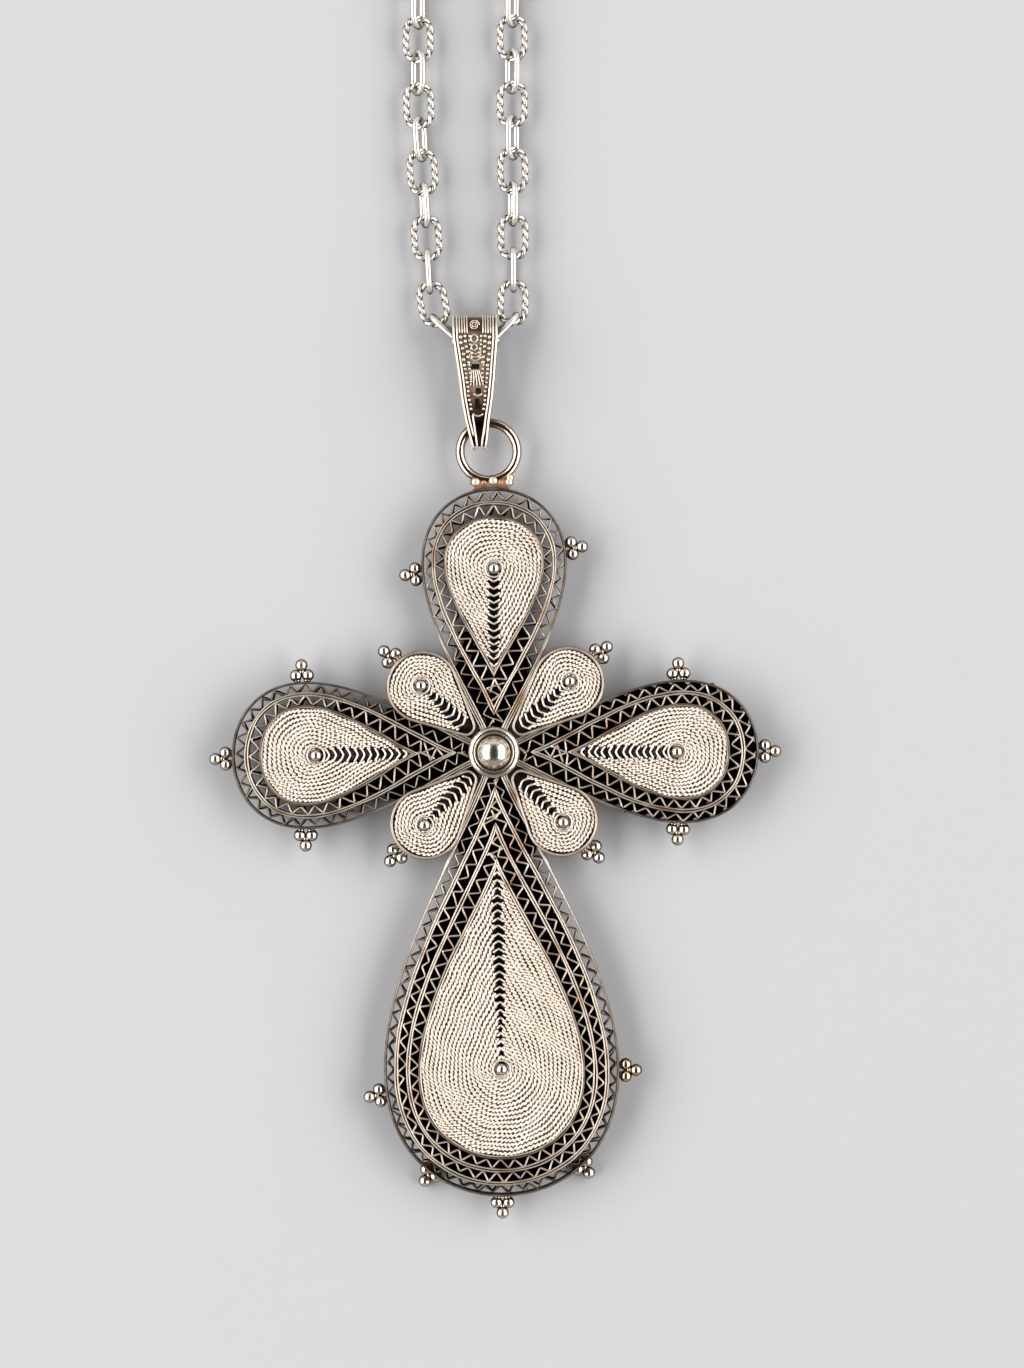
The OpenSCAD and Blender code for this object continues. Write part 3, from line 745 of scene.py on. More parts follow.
# %% [markdown]
# ## Coiled panels
# Filigree wire is two fine wires twisted together, so its edge is a row of grains. The maker lays it in
# nested loops round the granule, and each loop ends in a small V across the slot. The V points at the
# middle of the cross. Only the upper skin of the rope is made, since the lower half is never seen: at each
# place it takes the higher of the two strands, which turn about each other along the way.

# %% Twisted wire as seen from above
TURN_MM = 0.9


def twisted_top(path, width, local, lanes):
    """Open skin of a two-strand rope along an open path; local is a share of the width for each point"""
    strand = width / 4
    gone = np.concatenate([[0], np.cumsum(np.linalg.norm(np.diff(path, axis=0), axis=1))])
    turn = 2 * math.pi * (gone - gone[-1] / 2) / (TURN_MM * rng.uniform(0.88, 1.08)) + rng.uniform(0, 6.28)
    turn = turn + 0.7 * np.sin(gone * 1.1 + rng.uniform(0, 6.28))
    turn = turn + 0.5 * np.sin(gone * 2.9 + rng.uniform(0, 6.28))
    lane = np.linspace(-0.97, 0.97, lanes) * width / 2
    heights = []
    for half_turn in (0, math.pi):
        off = lane[None] - strand * np.cos(turn + half_turn)[:, None]
        inside = np.clip(strand ** 2 - off ** 2, 0, None)
        height = strand * np.sin(turn + half_turn)[:, None] + np.sqrt(inside)
        heights.append(np.where(inside > 0, height, -width))
    top = np.maximum(*heights)
    crest = np.clip((top / width + 0.02) / 0.26, 0, 1)
    top = top + 0.03 * np.sin(gone * 1.9 + rng.uniform(0, 6.28))[:, None]
    top = np.maximum(top, -width * 0.3)
    section = np.stack([np.broadcast_to(lane, top.shape) * local[:, None], top], -1)
    points, faces = sweep(path, section, closed=False, around_too=False)
    return points, faces, crest.ravel()


print("the two strands turn once in", TURN_MM, "mm")

# %% [markdown]
# The loops are scaled copies of the panel's outline, drawn in towards the granule, and each is cut open
# where the slot is. A little sway, alike for neighbouring wires, takes the machine-made look away.

# %% Nested loops
GRANULE_CLEAR = 0.35  # the slot starts this far from the granule's middle
LOOP_SWAY = 0.00125
HAND_SWAY = 0.07


def wobble(count, size):
    """Smooth small swing round a closed path, for the maker's hand"""
    turn = np.arange(count) * 2 * math.pi / count
    return sum(rng.normal(0, size) * np.sin(turn * k + rng.uniform(0, 6.28)) for k in (2, 3, 5, 8))


def by_hand(line):
    """Bends a drawing a little, neighbouring wires alike"""
    x, y = line[:, 0], line[:, 1]
    return line + HAND_SWAY * np.column_stack([np.sin(1.7 * y + 0.8 * x), np.sin(1.5 * x - 1.1 * y)])


def coil_loops(outline, granule_at, rows, slot_half, step):
    """One open path per loop, with its local pitch, as shares of the panel's mean pitch"""
    centre = np.array([granule_at, 0.0])
    reach = granule_at - outline[:, 0].min()
    ahead = np.roll(outline, -1, 0) - np.roll(outline, 1, 0)
    ahead /= np.linalg.norm(ahead, axis=1, keepdims=True)
    off = outline - centre
    spread = np.abs(off[:, 0] * ahead[:, 1] - off[:, 1] * ahead[:, 0])
    spread = np.clip(spread / np.abs(outline[:, 1]).max(), 0.8, 1.3)
    loops = []
    for row in range(rows):
        share = 1 - (row + 0.5) / rows
        path = centre + off * share * (1 + wobble(len(off), LOOP_SWAY)[:, None])
        half = slot_half((granule_at - path[:, 0]) / reach)
        in_slot = (path[:, 0] < granule_at - GRANULE_CLEAR) & (np.abs(path[:, 1]) < half)
        kept = np.column_stack([path, spread])[~in_slot]
        if len(kept) > 12:
            kept = even(kept, step, closed=False)
            loops.append((by_hand(kept[:, :2]), kept[:, 2], share))
    return loops


print("loops sway by up to", HAND_SWAY, "mm")

# %% [markdown]
# The panel is a low dome. Across its slot lie short bent wires, round the granule lies a small ring, and
# under the loops a dark sheet stands for solder and shade, so that no light falls through between the
# wires.

# %% Bars, ring and sheet of a panel
def dome(share, edge, rise):
    """Height over the panel: its edge is at share 1"""
    return edge + rise * (1 - share ** 2.2)


def slot_bars(outline, granule_at, slot_half, pitch, edge, rise, bar_step):
    """Short bent wires across the slot, each pointing at the middle of the cross, and the granule's ring"""
    point = outline[:, 0].min()
    reach = granule_at - point
    across_slot = np.linspace(-1, 1, 7)
    parts = []
    for x in np.arange(granule_at - GRANULE / 2 - 0.35, point + 0.6, -bar_step):
        half = slot_half((granule_at - x) / reach) + 0.1
        z = dome((granule_at - x) / reach, edge, rise) - pitch * 0.25 + rng.normal(0, 0.02)
        bend = x - 0.36 * (1 - np.abs(across_slot) ** 1.25) + rng.normal(0, 0.03)
        path = np.column_stack([bend, across_slot * half, np.full(7, z)])
        parts.append((*tube(path, 0.21, 6, closed=False, low=0.3), 0))
    around = np.arange(24) * math.pi / 12
    ring = np.column_stack([granule_at + 0.86 * np.cos(around), 0.86 * np.sin(around),
                            np.full(24, dome(0.2, edge, rise))])
    parts.append((*tube(ring, 0.22, 6, low=0.15), 0))
    return parts


def solder_and_shade_sheet(outline, granule_at, slot_half, pitch, edge, rise):
    """Dark sheet under the loops, for solder and painted shade, open at the slot"""
    rings = 14
    ring = even(outline, 0.5)
    centre = np.array([granule_at, 0.0])
    sheet = []
    for k in range(rings):
        share = 1 - k / (rings - 1) * 0.97
        path = centre + (ring - centre) * share
        sheet.append(np.column_stack([path, np.full(len(path), dome(share, edge, rise) - pitch * 0.72)]))
    points = np.vstack(sheet)
    faces = grid_faces(rings, len(ring))
    middle = points[faces].mean(1)
    reach = granule_at - outline[:, 0].min()
    half = slot_half((granule_at - middle[:, 0]) / reach) + 0.05
    open_slot = (middle[:, 0] < granule_at - 0.4) & (np.abs(middle[:, 1]) < half)
    return points, faces[~open_slot], 0.1, 1


def coiled_panel(outline, granule_at, rows, pitch, slot_half, bar_step, edge, rise, fine):
    """Parts of one coiled panel, looking up; fine ones have more points along and across the wire"""
    step, lanes = (TURN_MM / 10, 9) if fine else (TURN_MM / 5, 5)
    parts = slot_bars(outline, granule_at, slot_half, pitch, edge, rise, bar_step)
    for line, local, share in coil_loops(outline, granule_at, rows, slot_half, step):
        z = dome(share, edge, rise) - pitch / 2 + rng.normal(0, 0.012)
        path = np.column_stack([line, np.full(len(line), z)])
        parts.append((*twisted_top(path, pitch * 1.08, local, lanes), 0))
    parts.append(solder_and_shade_sheet(outline, granule_at, slot_half, pitch, edge, rise))
    return parts


def panel_border(outline, low, high, width, bright):
    """Smooth flat wire round a panel, alike all the way"""
    return (*rim(outline, low, high, width, worn_and_lit(bright, 1)), 3)


print("a panel rises", round(float(dome(0, 0, 0.66)), 2), "mm from its edge to its middle")

# %% [markdown]
# A ball serves as a granule, a grain and a lump of solder. Its pole looks up and its rows of faces shrink
# towards the pole, so that the highlight, which sits on top, stays round. Its side is left dark, partly with
# tarnish and partly with painted shade.

# %% Smooth ball
def ball(centre, radius, crest=1.0, around=20, high=12):
    """Sphere with a pole on top, dark round its side with tarnish and painted shade"""
    rows = np.arange(1, high) * math.pi / high
    turn = np.arange(around) * 2 * math.pi / around
    r, t = (angles.ravel() for angles in np.meshgrid(rows, turn, indexing="ij"))
    grid = np.column_stack([np.sin(r) * np.cos(t), np.sin(r) * np.sin(t), np.cos(r)])
    points = np.vstack([grid, [[0, 0, 1], [0, 0, -1]]])
    lowest = np.arange(len(grid) - around, len(grid))
    faces = np.vstack([grid_faces(high - 1, around), fan(len(grid), np.arange(around)),
                       fan(len(grid) + 1, lowest)[:, UNDER_FAN]])
    return points * radius + np.asarray(centre, float), faces, rubbed_and_shaded(points[:, 2] - 0.15, 0.1, crest)


print("a granule has", len(ball((0, 0, 0), 1)[1]), "faces")

# %% [markdown]
# The back of the cross can't be seen in the photograph. Such a cross has the same panels there, without
# granules, so the back's parts are made looking up and mirrored in depth. Mirrored faces look inwards until
# their corners are listed the other way round.

# %% Panels of the arms, front and back
PANEL_ROWS = {"top": 12, "left": 12, "right": 12, "bottom": 20}
BAR_STEP = {"top": 0.7, "left": 0.7, "right": 0.68, "bottom": 0.76}
# Half width of the slot at shares of the way from the granule (0) to the panel's point (1)
SLOT_HALF = {
    "top": [(0, 0.3), (0.12, 0.48), (0.6, 0.5), (0.9, 0.34), (1, 0.1)],
    "left": [(0, 0.35), (0.12, 0.55), (0.6, 0.58), (0.9, 0.34), (1, 0.1)],
    "right": [(0, 0.3), (0.12, 0.5), (0.6, 0.55), (0.9, 0.34), (1, 0.1)],
    "bottom": [(0, 0.1), (0.08, 0.14), (0.3, 0.34), (0.5, 0.47), (0.85, 0.4), (1, 0.14)],
    "petal": [(0, 0.16), (0.15, 0.38), (0.5, 0.62), (0.85, 0.66), (1, 0.35)],
}
PANEL_EDGE = 3.78
PANEL_RISE = 0.66
BORDER_LOW, BORDER_HIGH = 3.36, 3.8
BORDER_CREST = {"top": 0.75, "left": 0.75, "right": 0.75, "bottom": 1.0}
PANEL_FINISHES = [burnt_silver, painted_shade_silver, polished_silver, oxidised_silver]


def slot_of(name):
    ways, halves = zip(*SLOT_HALF[name])
    return lambda way: np.interp(way, ways, halves)


def mirrored(parts):
    """The same parts on the back of the cross, with their faces turned over"""
    result = []
    for points, faces, crest, finish in parts:
        faces = faces[:, ::-1].copy()
        corner = faces[:, 0] == faces[:, 1]
        faces[corner] = faces[corner][:, [1, 2, 3, 3]]
        result.append((points * [1, 1, -1] + [0, 0, CROSS_DEPTH], faces, crest, finish))
    return result


for arm_name, arm in ARMS.items():
    border = even(arm_drop(arm, 1.025), 0.35)
    outline = even(arm_drop(arm, 1.05), 0.2)
    rows = PANEL_ROWS[arm_name]
    pitch = (arm["half"] - arm["side_in"]) / rows
    for face in ("front", "back"):
        parts = coiled_panel(outline, arm["granule"], rows, pitch, slot_of(arm_name), BAR_STEP[arm_name],
                             PANEL_EDGE, PANEL_RISE, face == "front")
        parts.append(panel_border(border, BORDER_LOW, BORDER_HIGH, 0.18, BORDER_CREST[arm_name]))
        if face == "front":
            parts.append((*ball((arm["granule"], 0, CROSS_DEPTH), GRANULE / 2), 2))
        else:
            parts = mirrored(parts)
        make_piece(f"panel_{face}_{arm_name}_coils", turned_parts(parts, arm["turn"]), PANEL_FINISHES,
                   [f"panel_{face}_{arm_name}"])

# %% [markdown]
# ## Petals
# The four petals fill the corners between the arms. Their outline is two circles joined by straight sides,
# with the same nested loops inside a smooth border wire. Round its outer end a strip closes front to back.

# %% Petals
PETAL_NEAR = 3.8
PETAL_NEAR_R = 1.0
PETAL_R = 3.6
PETAL_INSET = 0.35
PETAL_LOW = MID_Z + RIM_HEIGHT / 2 + 0.1
PETAL_TOP = CROSS_DEPTH - 0.35
PETAL_ROWS = 8
ROUND_END = 120


def petal_outline(petal, inset):
    """Closed outline round the petal's two circles; its round end comes first"""
    far, far_r, near_r = petal["far"], PETAL_R - inset, PETAL_NEAR_R - inset
    lean = math.pi / 2 + math.asin((far_r - near_r) / (far - PETAL_NEAR))
    wide = np.linspace(-lean, lean, ROUND_END)
    narrow = np.linspace(lean, 2 * math.pi - lean, ROUND_END // 2)
    return np.vstack([np.column_stack([far + far_r * np.cos(wide), far_r * np.sin(wide)]),
                      np.column_stack([PETAL_NEAR + near_r * np.cos(narrow), near_r * np.sin(narrow)])])


for petal_name, petal in PETALS.items():
    border = even(petal_outline(petal, 0.15), 0.3)
    inner = even(petal_outline(petal, PETAL_INSET), 0.15)
    tip_first = np.roll(inner, -int(np.argmin(inner[:, 0])), 0)
    granule_at = petal["far"] + 0.2
    parts = []
    for face in ("front", "back"):
        panel = coiled_panel(tip_first, granule_at, PETAL_ROWS, (PETAL_R - PETAL_INSET) / PETAL_ROWS,
                             slot_of("petal"), 0.74, PETAL_TOP - 0.42, 0.5, face == "front")
        panel.append(panel_border(border, PETAL_LOW, PETAL_TOP - 0.32, 0.3, 0.8))
        parts += panel if face == "front" else mirrored(panel)
    from_end = np.abs(np.arange(ROUND_END) - (ROUND_END - 1) / 2)
    end_line = even(petal_outline(petal, 0)[:ROUND_END][from_end < 36], 0.3, closed=False)
    strip = [(-0.28, CROSS_DEPTH - PETAL_LOW), (0.02, CROSS_DEPTH - PETAL_LOW), (0.02, PETAL_LOW),
             (-0.28, PETAL_LOW)]
    parts.append((*sweep(end_line, strip, closed=False), 0.5, 3))
    parts.append((*ball((granule_at, 0, PETAL_TOP), GRANULE / 2), 2))
    make_piece(f"petal_{petal_name}_coils", turned_parts(parts, petal["turn"]), PANEL_FINISHES,
               [f"petal_{petal_name}"])

# %% [markdown]
# ## Boss
# The boss is turned or built up from a disc, a ring and half a ball, soldered and polished. A lathe outline
# spun round the middle gives it soft edges that catch a thin line of light. It is drawn from the flat foot
# at the back up to the dome's top.

# %% Boss
COLLAR_TOP = CROSS_DEPTH - 0.1
DOME_R = 1.7
DOME_RISE = 1.6


def lathe(outline, crest, around=64):
    """Spins (radius, height) points round the middle"""
    turn = np.arange(around) * 2 * math.pi / around
    radius, height = np.asarray(outline, float).T[..., None]
    points = np.stack([radius * np.cos(turn), radius * np.sin(turn), height + 0 * turn], -1)
    faces = grid_faces(len(outline), around)[:, [0, 3, 2, 1]]
    return points.reshape(-1, 3), faces, np.repeat(np.asarray(crest, float), around)


def arc(centre, radius, start, end, count):
    """Points of an arc in a lathe outline, by degrees"""
    turn = np.radians(np.linspace(start, end, count))
    return [(centre[0] + radius * math.cos(t), centre[1] + radius * math.sin(t)) for t in turn]


hub_line = [(0.01, 0), (2.4, 0), (2.4, 1.2), (2.3, 1.2), (2.3, 3.2), (2.54, 3.3)]
collar_line = [(2.02 + 0.55 * x, COLLAR_TOP - 0.42 + 0.5 * y) for x, y in arc((0, 0), 1, 0, 84, 12)]
ring_line = arc((1.9, COLLAR_TOP + 0.12), 0.12, -20, 190, 8)
dome_line = [(x * DOME_R, COLLAR_TOP + y * DOME_RISE) for x, y in arc((0, 0), 1, 8, 89.7, 26)]
boss_outline = (hub_line + collar_line + [(2.02, COLLAR_TOP + 0.02)] + ring_line
                + [(1.74, COLLAR_TOP + 0.04)] + dome_line)
# Tarnish stays at the foot and in the two grooves beside the ring
boss_crest = [0.3] * 6 + [0.5] * 2 + [0.9] * 10 + [0.2] + [0.8] * 8 + [0.1] + [0.3, 0.6] + [1.0] * 24
print("boss outline:", len(boss_outline), "points")
make_piece("centre_boss_turned", [(*lathe(boss_outline, boss_crest), 0)], [polished_silver],
           ["centre_boss"])

# %% [markdown]
# ## Granules
# A granule is a snippet of silver wire melted on charcoal, where it pulls itself into a ball. Three of them
# sit together on the rims, with a little solder between. A table gives the arm of each cluster and the
# angle round its drop. Two clusters at the foot sit lower than the others, under the rim's edge, and one
# has turned brown.

# %% Granules
# name, arm, angle round its drop, whether it sits low
ARM_CLUSTERS = [
    ("top_left", "top", 110.5, False), ("top_right", "top", 237.5, False),
    ("left_end", "left", 179, False), ("left_upper", "left", 243, False),
    ("left_lower", "left", 116.5, False), ("right_end", "right", 180, False),
    ("right_upper", "right", 113.5, False), ("right_lower", "right", 247, False),
    ("foot_left", "bottom", 238, False), ("foot_right", "bottom", 116.5, False),
    ("foot_end", "bottom", 180.8, False),
    ("foot_lower_left", "bottom", 207, True), ("foot_lower_right", "bottom", 151, True),
]
BROWNED = ("foot_right",)
GRANULE_STEP = GRANULE - 0.05
RIM_TO_BALL = GRANULE / 2 + 0.02
LOW_Z = MID_Z - RIM_HEIGHT / 2 - 0.06 - GRANULE / 2
LOW_SHIFT = 0.5
# Way out from the rim, way along it, and radius
SOLDER_DROPS = [(RIM_TO_BALL + 0.32, 0, 0.34), (0.14, -0.5, 0.36), (0.14, 0.5, 0.36)]


def granule_trio(name, place, away, z, arm_turn):
    """Two balls on the rim and one outside them, with solder between; away, in radians, points outwards"""
    def spot(out, along):
        return [place[0] + out * math.cos(away) - along * math.sin(away),
                place[1] + out * math.sin(away) + along * math.cos(away), z]

    ball_finish = 1 if name in BROWNED else 0
    third = RIM_TO_BALL + GRANULE_STEP * math.cos(math.radians(30))
    parts = []
    for out, along in ((RIM_TO_BALL, -GRANULE_STEP / 2), (RIM_TO_BALL, GRANULE_STEP / 2), (third, 0)):
        parts.append((*ball(spot(out, along), GRANULE / 2 * rng.uniform(0.98, 1)), ball_finish))
    for out, along, size in SOLDER_DROPS:
        parts.append((*ball(spot(out, along), size, crest=0.9, around=10, high=6), 1))
    make_piece(f"granules_{name}_balls", turned_parts(parts, arm_turn), [polished_silver, gilded_silver],
               [f"granules_{name}"])


def drop_at(arm, degrees):
    """Point on the outside of an arm's drop"""
    turn = math.radians(degrees)
    return np.array([arm["length"] * (1 - math.cos(turn)) / 2, arm["half"] * drop_shape(turn) / DROP_PEAK])


for name, arm_name, degrees, low in ARM_CLUSTERS:
    arm = ARMS[arm_name]
    here = drop_at(arm, degrees)
    along = drop_at(arm, degrees + 1) - drop_at(arm, degrees - 1)
    away = math.atan2(-along[0], along[1]) + math.pi
    if low:
        here = here - LOW_SHIFT * np.array([math.cos(away), math.sin(away)])
    granule_trio(name, here, away, LOW_Z if low else MID_Z, arm["turn"])
for petal_name, petal in PETALS.items():
    granule_trio(petal_name, (petal["far"] + PETAL_R, 0), 0, MID_Z, petal["turn"])

# %% [markdown]
# ## Suspension ring
# A plain round wire ring with a thin gold wash, soldered to the top of the frame. The solder is a bar that
# runs down to the rim and fills the ring's lower edge, with a few lumps where it set. Under the bail the
# ring is painted darker, as the shade of the bail on it.

# %% Ring
BAIL_FOOT = np.array([-1.45, ARM_LENGTH + 6.4])
RING_CENTRE = np.array([-0.55, ARM_LENGTH + 3.65, MID_Z])
RING_R = 2.85
RING_WIRE = 0.9
BAR_Y = ARM_LENGTH + 0.16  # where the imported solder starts, a small gap off the frame
BAR_SIZE = (1.3, 0.8)
# Place across, height over BAR_Y, and radius
LUMPS = [(-1.85, 0.4, 0.52), (-1.0, 0.35, 0.36), (-0.08, 0.55, 0.52), (0.7, 0.4, 0.36), (1.5, 0.4, 0.44),
         (1.6, 0.85, 0.4)]
SMALL_LUMP = 0.4

turn = np.arange(72) * 2 * math.pi / 72
ring_path = RING_CENTRE + np.column_stack([RING_R * np.cos(turn), RING_R * np.sin(turn), np.zeros(72)])
points, faces, crest = tube(ring_path, RING_WIRE, 16)
# Painted shade: the ring darkens where the bail lies over it
from_bail = np.hypot(points[:, 0] - BAIL_FOOT[0], points[:, 1] - BAIL_FOOT[1])
shade_under_bail = np.clip(1.3 - from_bail / 1.6, 0, 1)
parts = [(points, faces, crest * (1 - 0.85 * shade_under_bail), 0)]

# The bar bends down at its ends, as the frame's round end does
bar_x = np.linspace(-2.2, 1.6, 14)
bar = np.column_stack([bar_x, BAR_Y + 0.3 - 0.08 * bar_x ** 2, np.full(14, MID_Z)])
points, faces = close_ends(*sweep(bar, round_section(*BAR_SIZE, 12), closed=False), 12)
parts.append((points, faces, 0.6, 1))
for x, high, size in LUMPS:
    shine = 0.6 if size < SMALL_LUMP else 1.1
    parts.append((*ball((x, BAR_Y + high, MID_Z + 0.14), size, crest=shine), 1))
make_piece("suspension_ring_wire", parts, [gilded_silver, solder_silver], ["suspension_ring"])

# %% [markdown]
# ## Bail
# The bail hangs the cross on the chain. It is a tapered strip, folded over the last link so that its two
# leaves close round the ring. Seen from the side it is a long drop: a wide bend over the link, a narrow one
# at the tip. That line, the profile, is measured along its way, and everything on the bail is drawn flat
# first, by the place across and the way down from the top, and then laid on the strip.

# %% Form of the bail
BAIL_TOP = ARM_LENGTH + 17.2
BAIL_Z = 2.27
TOP_R = 2.25
TIP_R = 0.95
TIP_Y = ARM_LENGTH + 3.7 + TIP_R
TIP_DOWN = BAIL_TOP - TIP_Y
FOLD_Y = BAIL_TOP - TOP_R
TOP_X = -1.95
TIP_X = -1.45
# Way down from the top, middle and half width of the strip
BAIL_ROWS = np.array([[-0.1, -1.93, 2.28], [2.4, -1.85, 2.25], [4.4, -1.78, 2.02], [6.4, -1.7, 1.8],
                      [8.4, -1.68, 1.58], [10.4, -1.65, 1.25], [12.4, -1.5, 0.9], [13.6, -1.45, 0.65]])
TIP_POINTS, FOLD_POINTS = 12, 60

lean = math.asin((TOP_R - TIP_R) / (FOLD_Y - TIP_Y))
tip_turn = np.linspace(-math.pi, -lean - math.pi / 2, TIP_POINTS)
fold_turn = np.linspace(math.pi / 2 + lean, -math.pi / 2 - lean, FOLD_POINTS)
profile = np.vstack([
    np.column_stack([TIP_Y + TIP_R * np.cos(tip_turn), BAIL_Z - TIP_R * np.sin(tip_turn)]),
    np.column_stack([FOLD_Y + TOP_R * np.cos(fold_turn), BAIL_Z + TOP_R * np.sin(fold_turn)]),
    np.column_stack([TIP_Y + TIP_R * np.cos(tip_turn), BAIL_Z + TIP_R * np.sin(tip_turn)])[::-1]])
profile_way = np.append(0, np.cumsum(np.linalg.norm(np.diff(profile, axis=0), axis=1)))
FULL_WAY = profile_way[-1]
FRONT_LEAF = slice(0, TIP_POINTS + FOLD_POINTS // 2)


def way_at(down):
    """Way along the profile, from the tip up the front leaf, of a place down from the top"""
    return np.interp(BAIL_TOP - np.asarray(down), profile[FRONT_LEAF, 0], profile_way[FRONT_LEAF])


def down_at(way):
    return BAIL_TOP - np.interp(way, profile_way, profile[:, 0])


def across(down):
    """Middle and half width of the strip"""
    return [np.interp(down, BAIL_ROWS[:, 0], BAIL_ROWS[:, column]) for column in (1, 2)]


def on_bail(x, way, lift):
    """Points on the folded strip and the directions that look away from it"""
    def at(shift):
        return np.array([np.interp(way + shift, profile_way, profile[:, axis]) for axis in (0, 1)])

    (y, z), (dy, dz) = at(0), at(0.05) - at(-0.05)
    out = np.column_stack([np.zeros_like(dy), -dz, dy])
    out /= np.linalg.norm(out, axis=1, keepdims=True)
    return np.column_stack([x, y, z]) + out * np.reshape(lift, (-1, 1)), out


print("the strip is", round(FULL_WAY, 1), "mm long before it is folded")

# %% [markdown]
# On the strip lie smooth wires along its edges, rows of grains beside them, and a few drawings in wire.
# Each helper below makes one of these kinds.

# %% Wires, grains and sheet of the bail
def bail_wire(flat, width, lift=0.0):
    """Round wire along a flat drawing of (x, down) on the front leaf"""
    flat = even(flat, 0.16, closed=False)
    path, out = on_bail(flat[:, 0], way_at(flat[:, 1]), lift)
    return (*tube(path, width, closed=False, low=0.2, up=out), 0)


def edge_wire(side, inset, start, end, width, lift=0.0, low=0.2):
    """Wire that follows an edge of the strip from way start to way end, over the fold"""
    way = np.linspace(start, end, int((end - start) / 0.3))
    middle, half = across(down_at(way))
    path, out = on_bail(middle + side * (half - inset), way, lift)
    return (*tube(path, width, closed=False, low=low, up=out), 0)


def grain_row(side, inset, start, end, size, step):
    """Row of grains beside an edge wire; those on the front leaf have more faces and less even wear"""
    parts = []
    for way in np.arange(start, end, step):
        middle, half = across(down_at(way))
        x = middle + side * (half - inset) + rng.normal(0, 0.03)
        spot, _ = on_bail(np.array([x]), np.array([way]), rng.normal(-0.04, 0.02))
        in_front = way < FULL_WAY / 2
        points, faces, crest = ball(spot[0], size * rng.uniform(0.45, 0.53), around=8 if in_front else 6,
                                    high=5)
        crest = crest * rng.uniform(0.7, 1) if in_front else 1.1 - crest
        parts.append((points, faces, crest, 0))
    return parts


# Way down to the hole, its length, its middle, and its half width above and below
HOLES = [(4.8, 0.75, -1.9, 0.4, 0.4), (7.3, 0.45, -1.55, 0.3, 0.25), (8.4, 1.1, -1.65, 0.28, 0.28),
         (10.1, 3.0, -1.45, 0.55, 0.1)]
SHEET_ROWS, SHEET_COLUMNS = 110, 25


def strip_sheet(lift):
    """Grid over the strip without its holes; lift is its depth"""
    ways = np.linspace(0.9, FULL_WAY - 0.9, SHEET_ROWS)
    shares = np.linspace(-0.97, 0.97, SHEET_COLUMNS)
    w, u = (grid.ravel() for grid in np.meshgrid(ways, shares, indexing="ij"))
    middle, half = across(down_at(w))
    points, _ = on_bail(middle + u * half, w, lift)
    faces = grid_faces(SHEET_ROWS, SHEET_COLUMNS, round_columns=False)
    x, y, z = points[faces].mean(1).T
    cut = np.zeros(len(faces), bool)
    for top, length, hole_x, wide, narrow in HOLES:
        down = (BAIL_TOP - y - top) / length
        inside = np.abs(x - hole_x) < wide + (narrow - wide) * down
        cut |= (down > 0) & (down < 1) & inside & (z > BAIL_Z)
    return points, faces[~cut]


print("holes in the front leaf:", len(HOLES))

# %% [markdown]
# The ornament follows the real bail from the top down: a scroll, two small rings, three bent bars, a hole,
# a fan of five wires, another hole between two curved bars, and the open tip between its two wires. Beside
# it the rows of grains run over the fold to the back leaf.

# %% Build the bail
# Way down from the top, and the sheet's crest there: lighter in the middle, darker at the top and towards the
# tip
SHEET_CREST = [(1.6, 0.2), (2.6, 0.76), (6.2, 0.86), (7.7, 0.45), (10.2, 0.04)]
# Inset from the edge, lowest and highest grain, down from the top, and the grains' size and step
GRAIN_ROWS = [(0.78, 9.4, 5.3, 0.38, 0.44), (0.8, 5.1, 1.9, 0.5, 0.56), (1.22, 6.7, 5.0, 0.36, 0.42),
              (1.27, 4.8, 2.0, 0.46, 0.52), (1.66, 4.3, 2.2, 0.36, 0.42)]
TOP_WIRE_INSETS = (0.72, 0.97, 1.22, 1.47)

outer_points, outer_faces = strip_sheet(-0.16)
inner_points, inner_faces = strip_sheet(-0.42)
sheet_crest = np.interp(BAIL_TOP - outer_points[:, 1], *zip(*SHEET_CREST))
# The inner faces of both leaves get crest 0.12, nearly black: painted shade inside the fold
parts = [(outer_points, outer_faces[:, ::-1], sheet_crest, 0), (inner_points, inner_faces, 0.12, 1)]
tip_way, top_way = way_at(TIP_DOWN), way_at(TOP_R - 0.4)
middle, half = across(TIP_DOWN + 0.2)
for side in (-1, 1):
    wedge = [(TIP_X + side * (0.24 + 0.15 * (TIP_DOWN - down + 0.3)), down)
             for down in np.arange(10, TIP_DOWN, 0.3)]
    tip = [(TIP_X + side * 0.22, TIP_DOWN + 0.6), (TIP_X + side * 0.38, TIP_DOWN + 0.88),
           (middle + side * (half - 0.2), TIP_DOWN + 0.86), (middle + side * (half - 0.12), TIP_DOWN + 0.6)]
    parts.append(bail_wire(wedge + tip, 0.2))
    parts.append(edge_wire(side, 0.12, 0.5, FULL_WAY - 0.5, 0.23))
    parts.append(edge_wire(side, 0.45, tip_way + 0.5, FULL_WAY - 1.2, 0.2))
    for inset in TOP_WIRE_INSETS:
        lift = rng.normal(0, 0.02)
        parts.append(edge_wire(side, inset, top_way - 0.1, FULL_WAY / 2 + 1.2, 0.15, lift, low=0.0))
    for inset, low, high, size, step in GRAIN_ROWS:
        parts += grain_row(side, inset, way_at(low), way_at(high), size, step)
    parts += grain_row(side, 0.76, FULL_WAY / 2 + 1.6, FULL_WAY - 3, 0.34, 0.4)

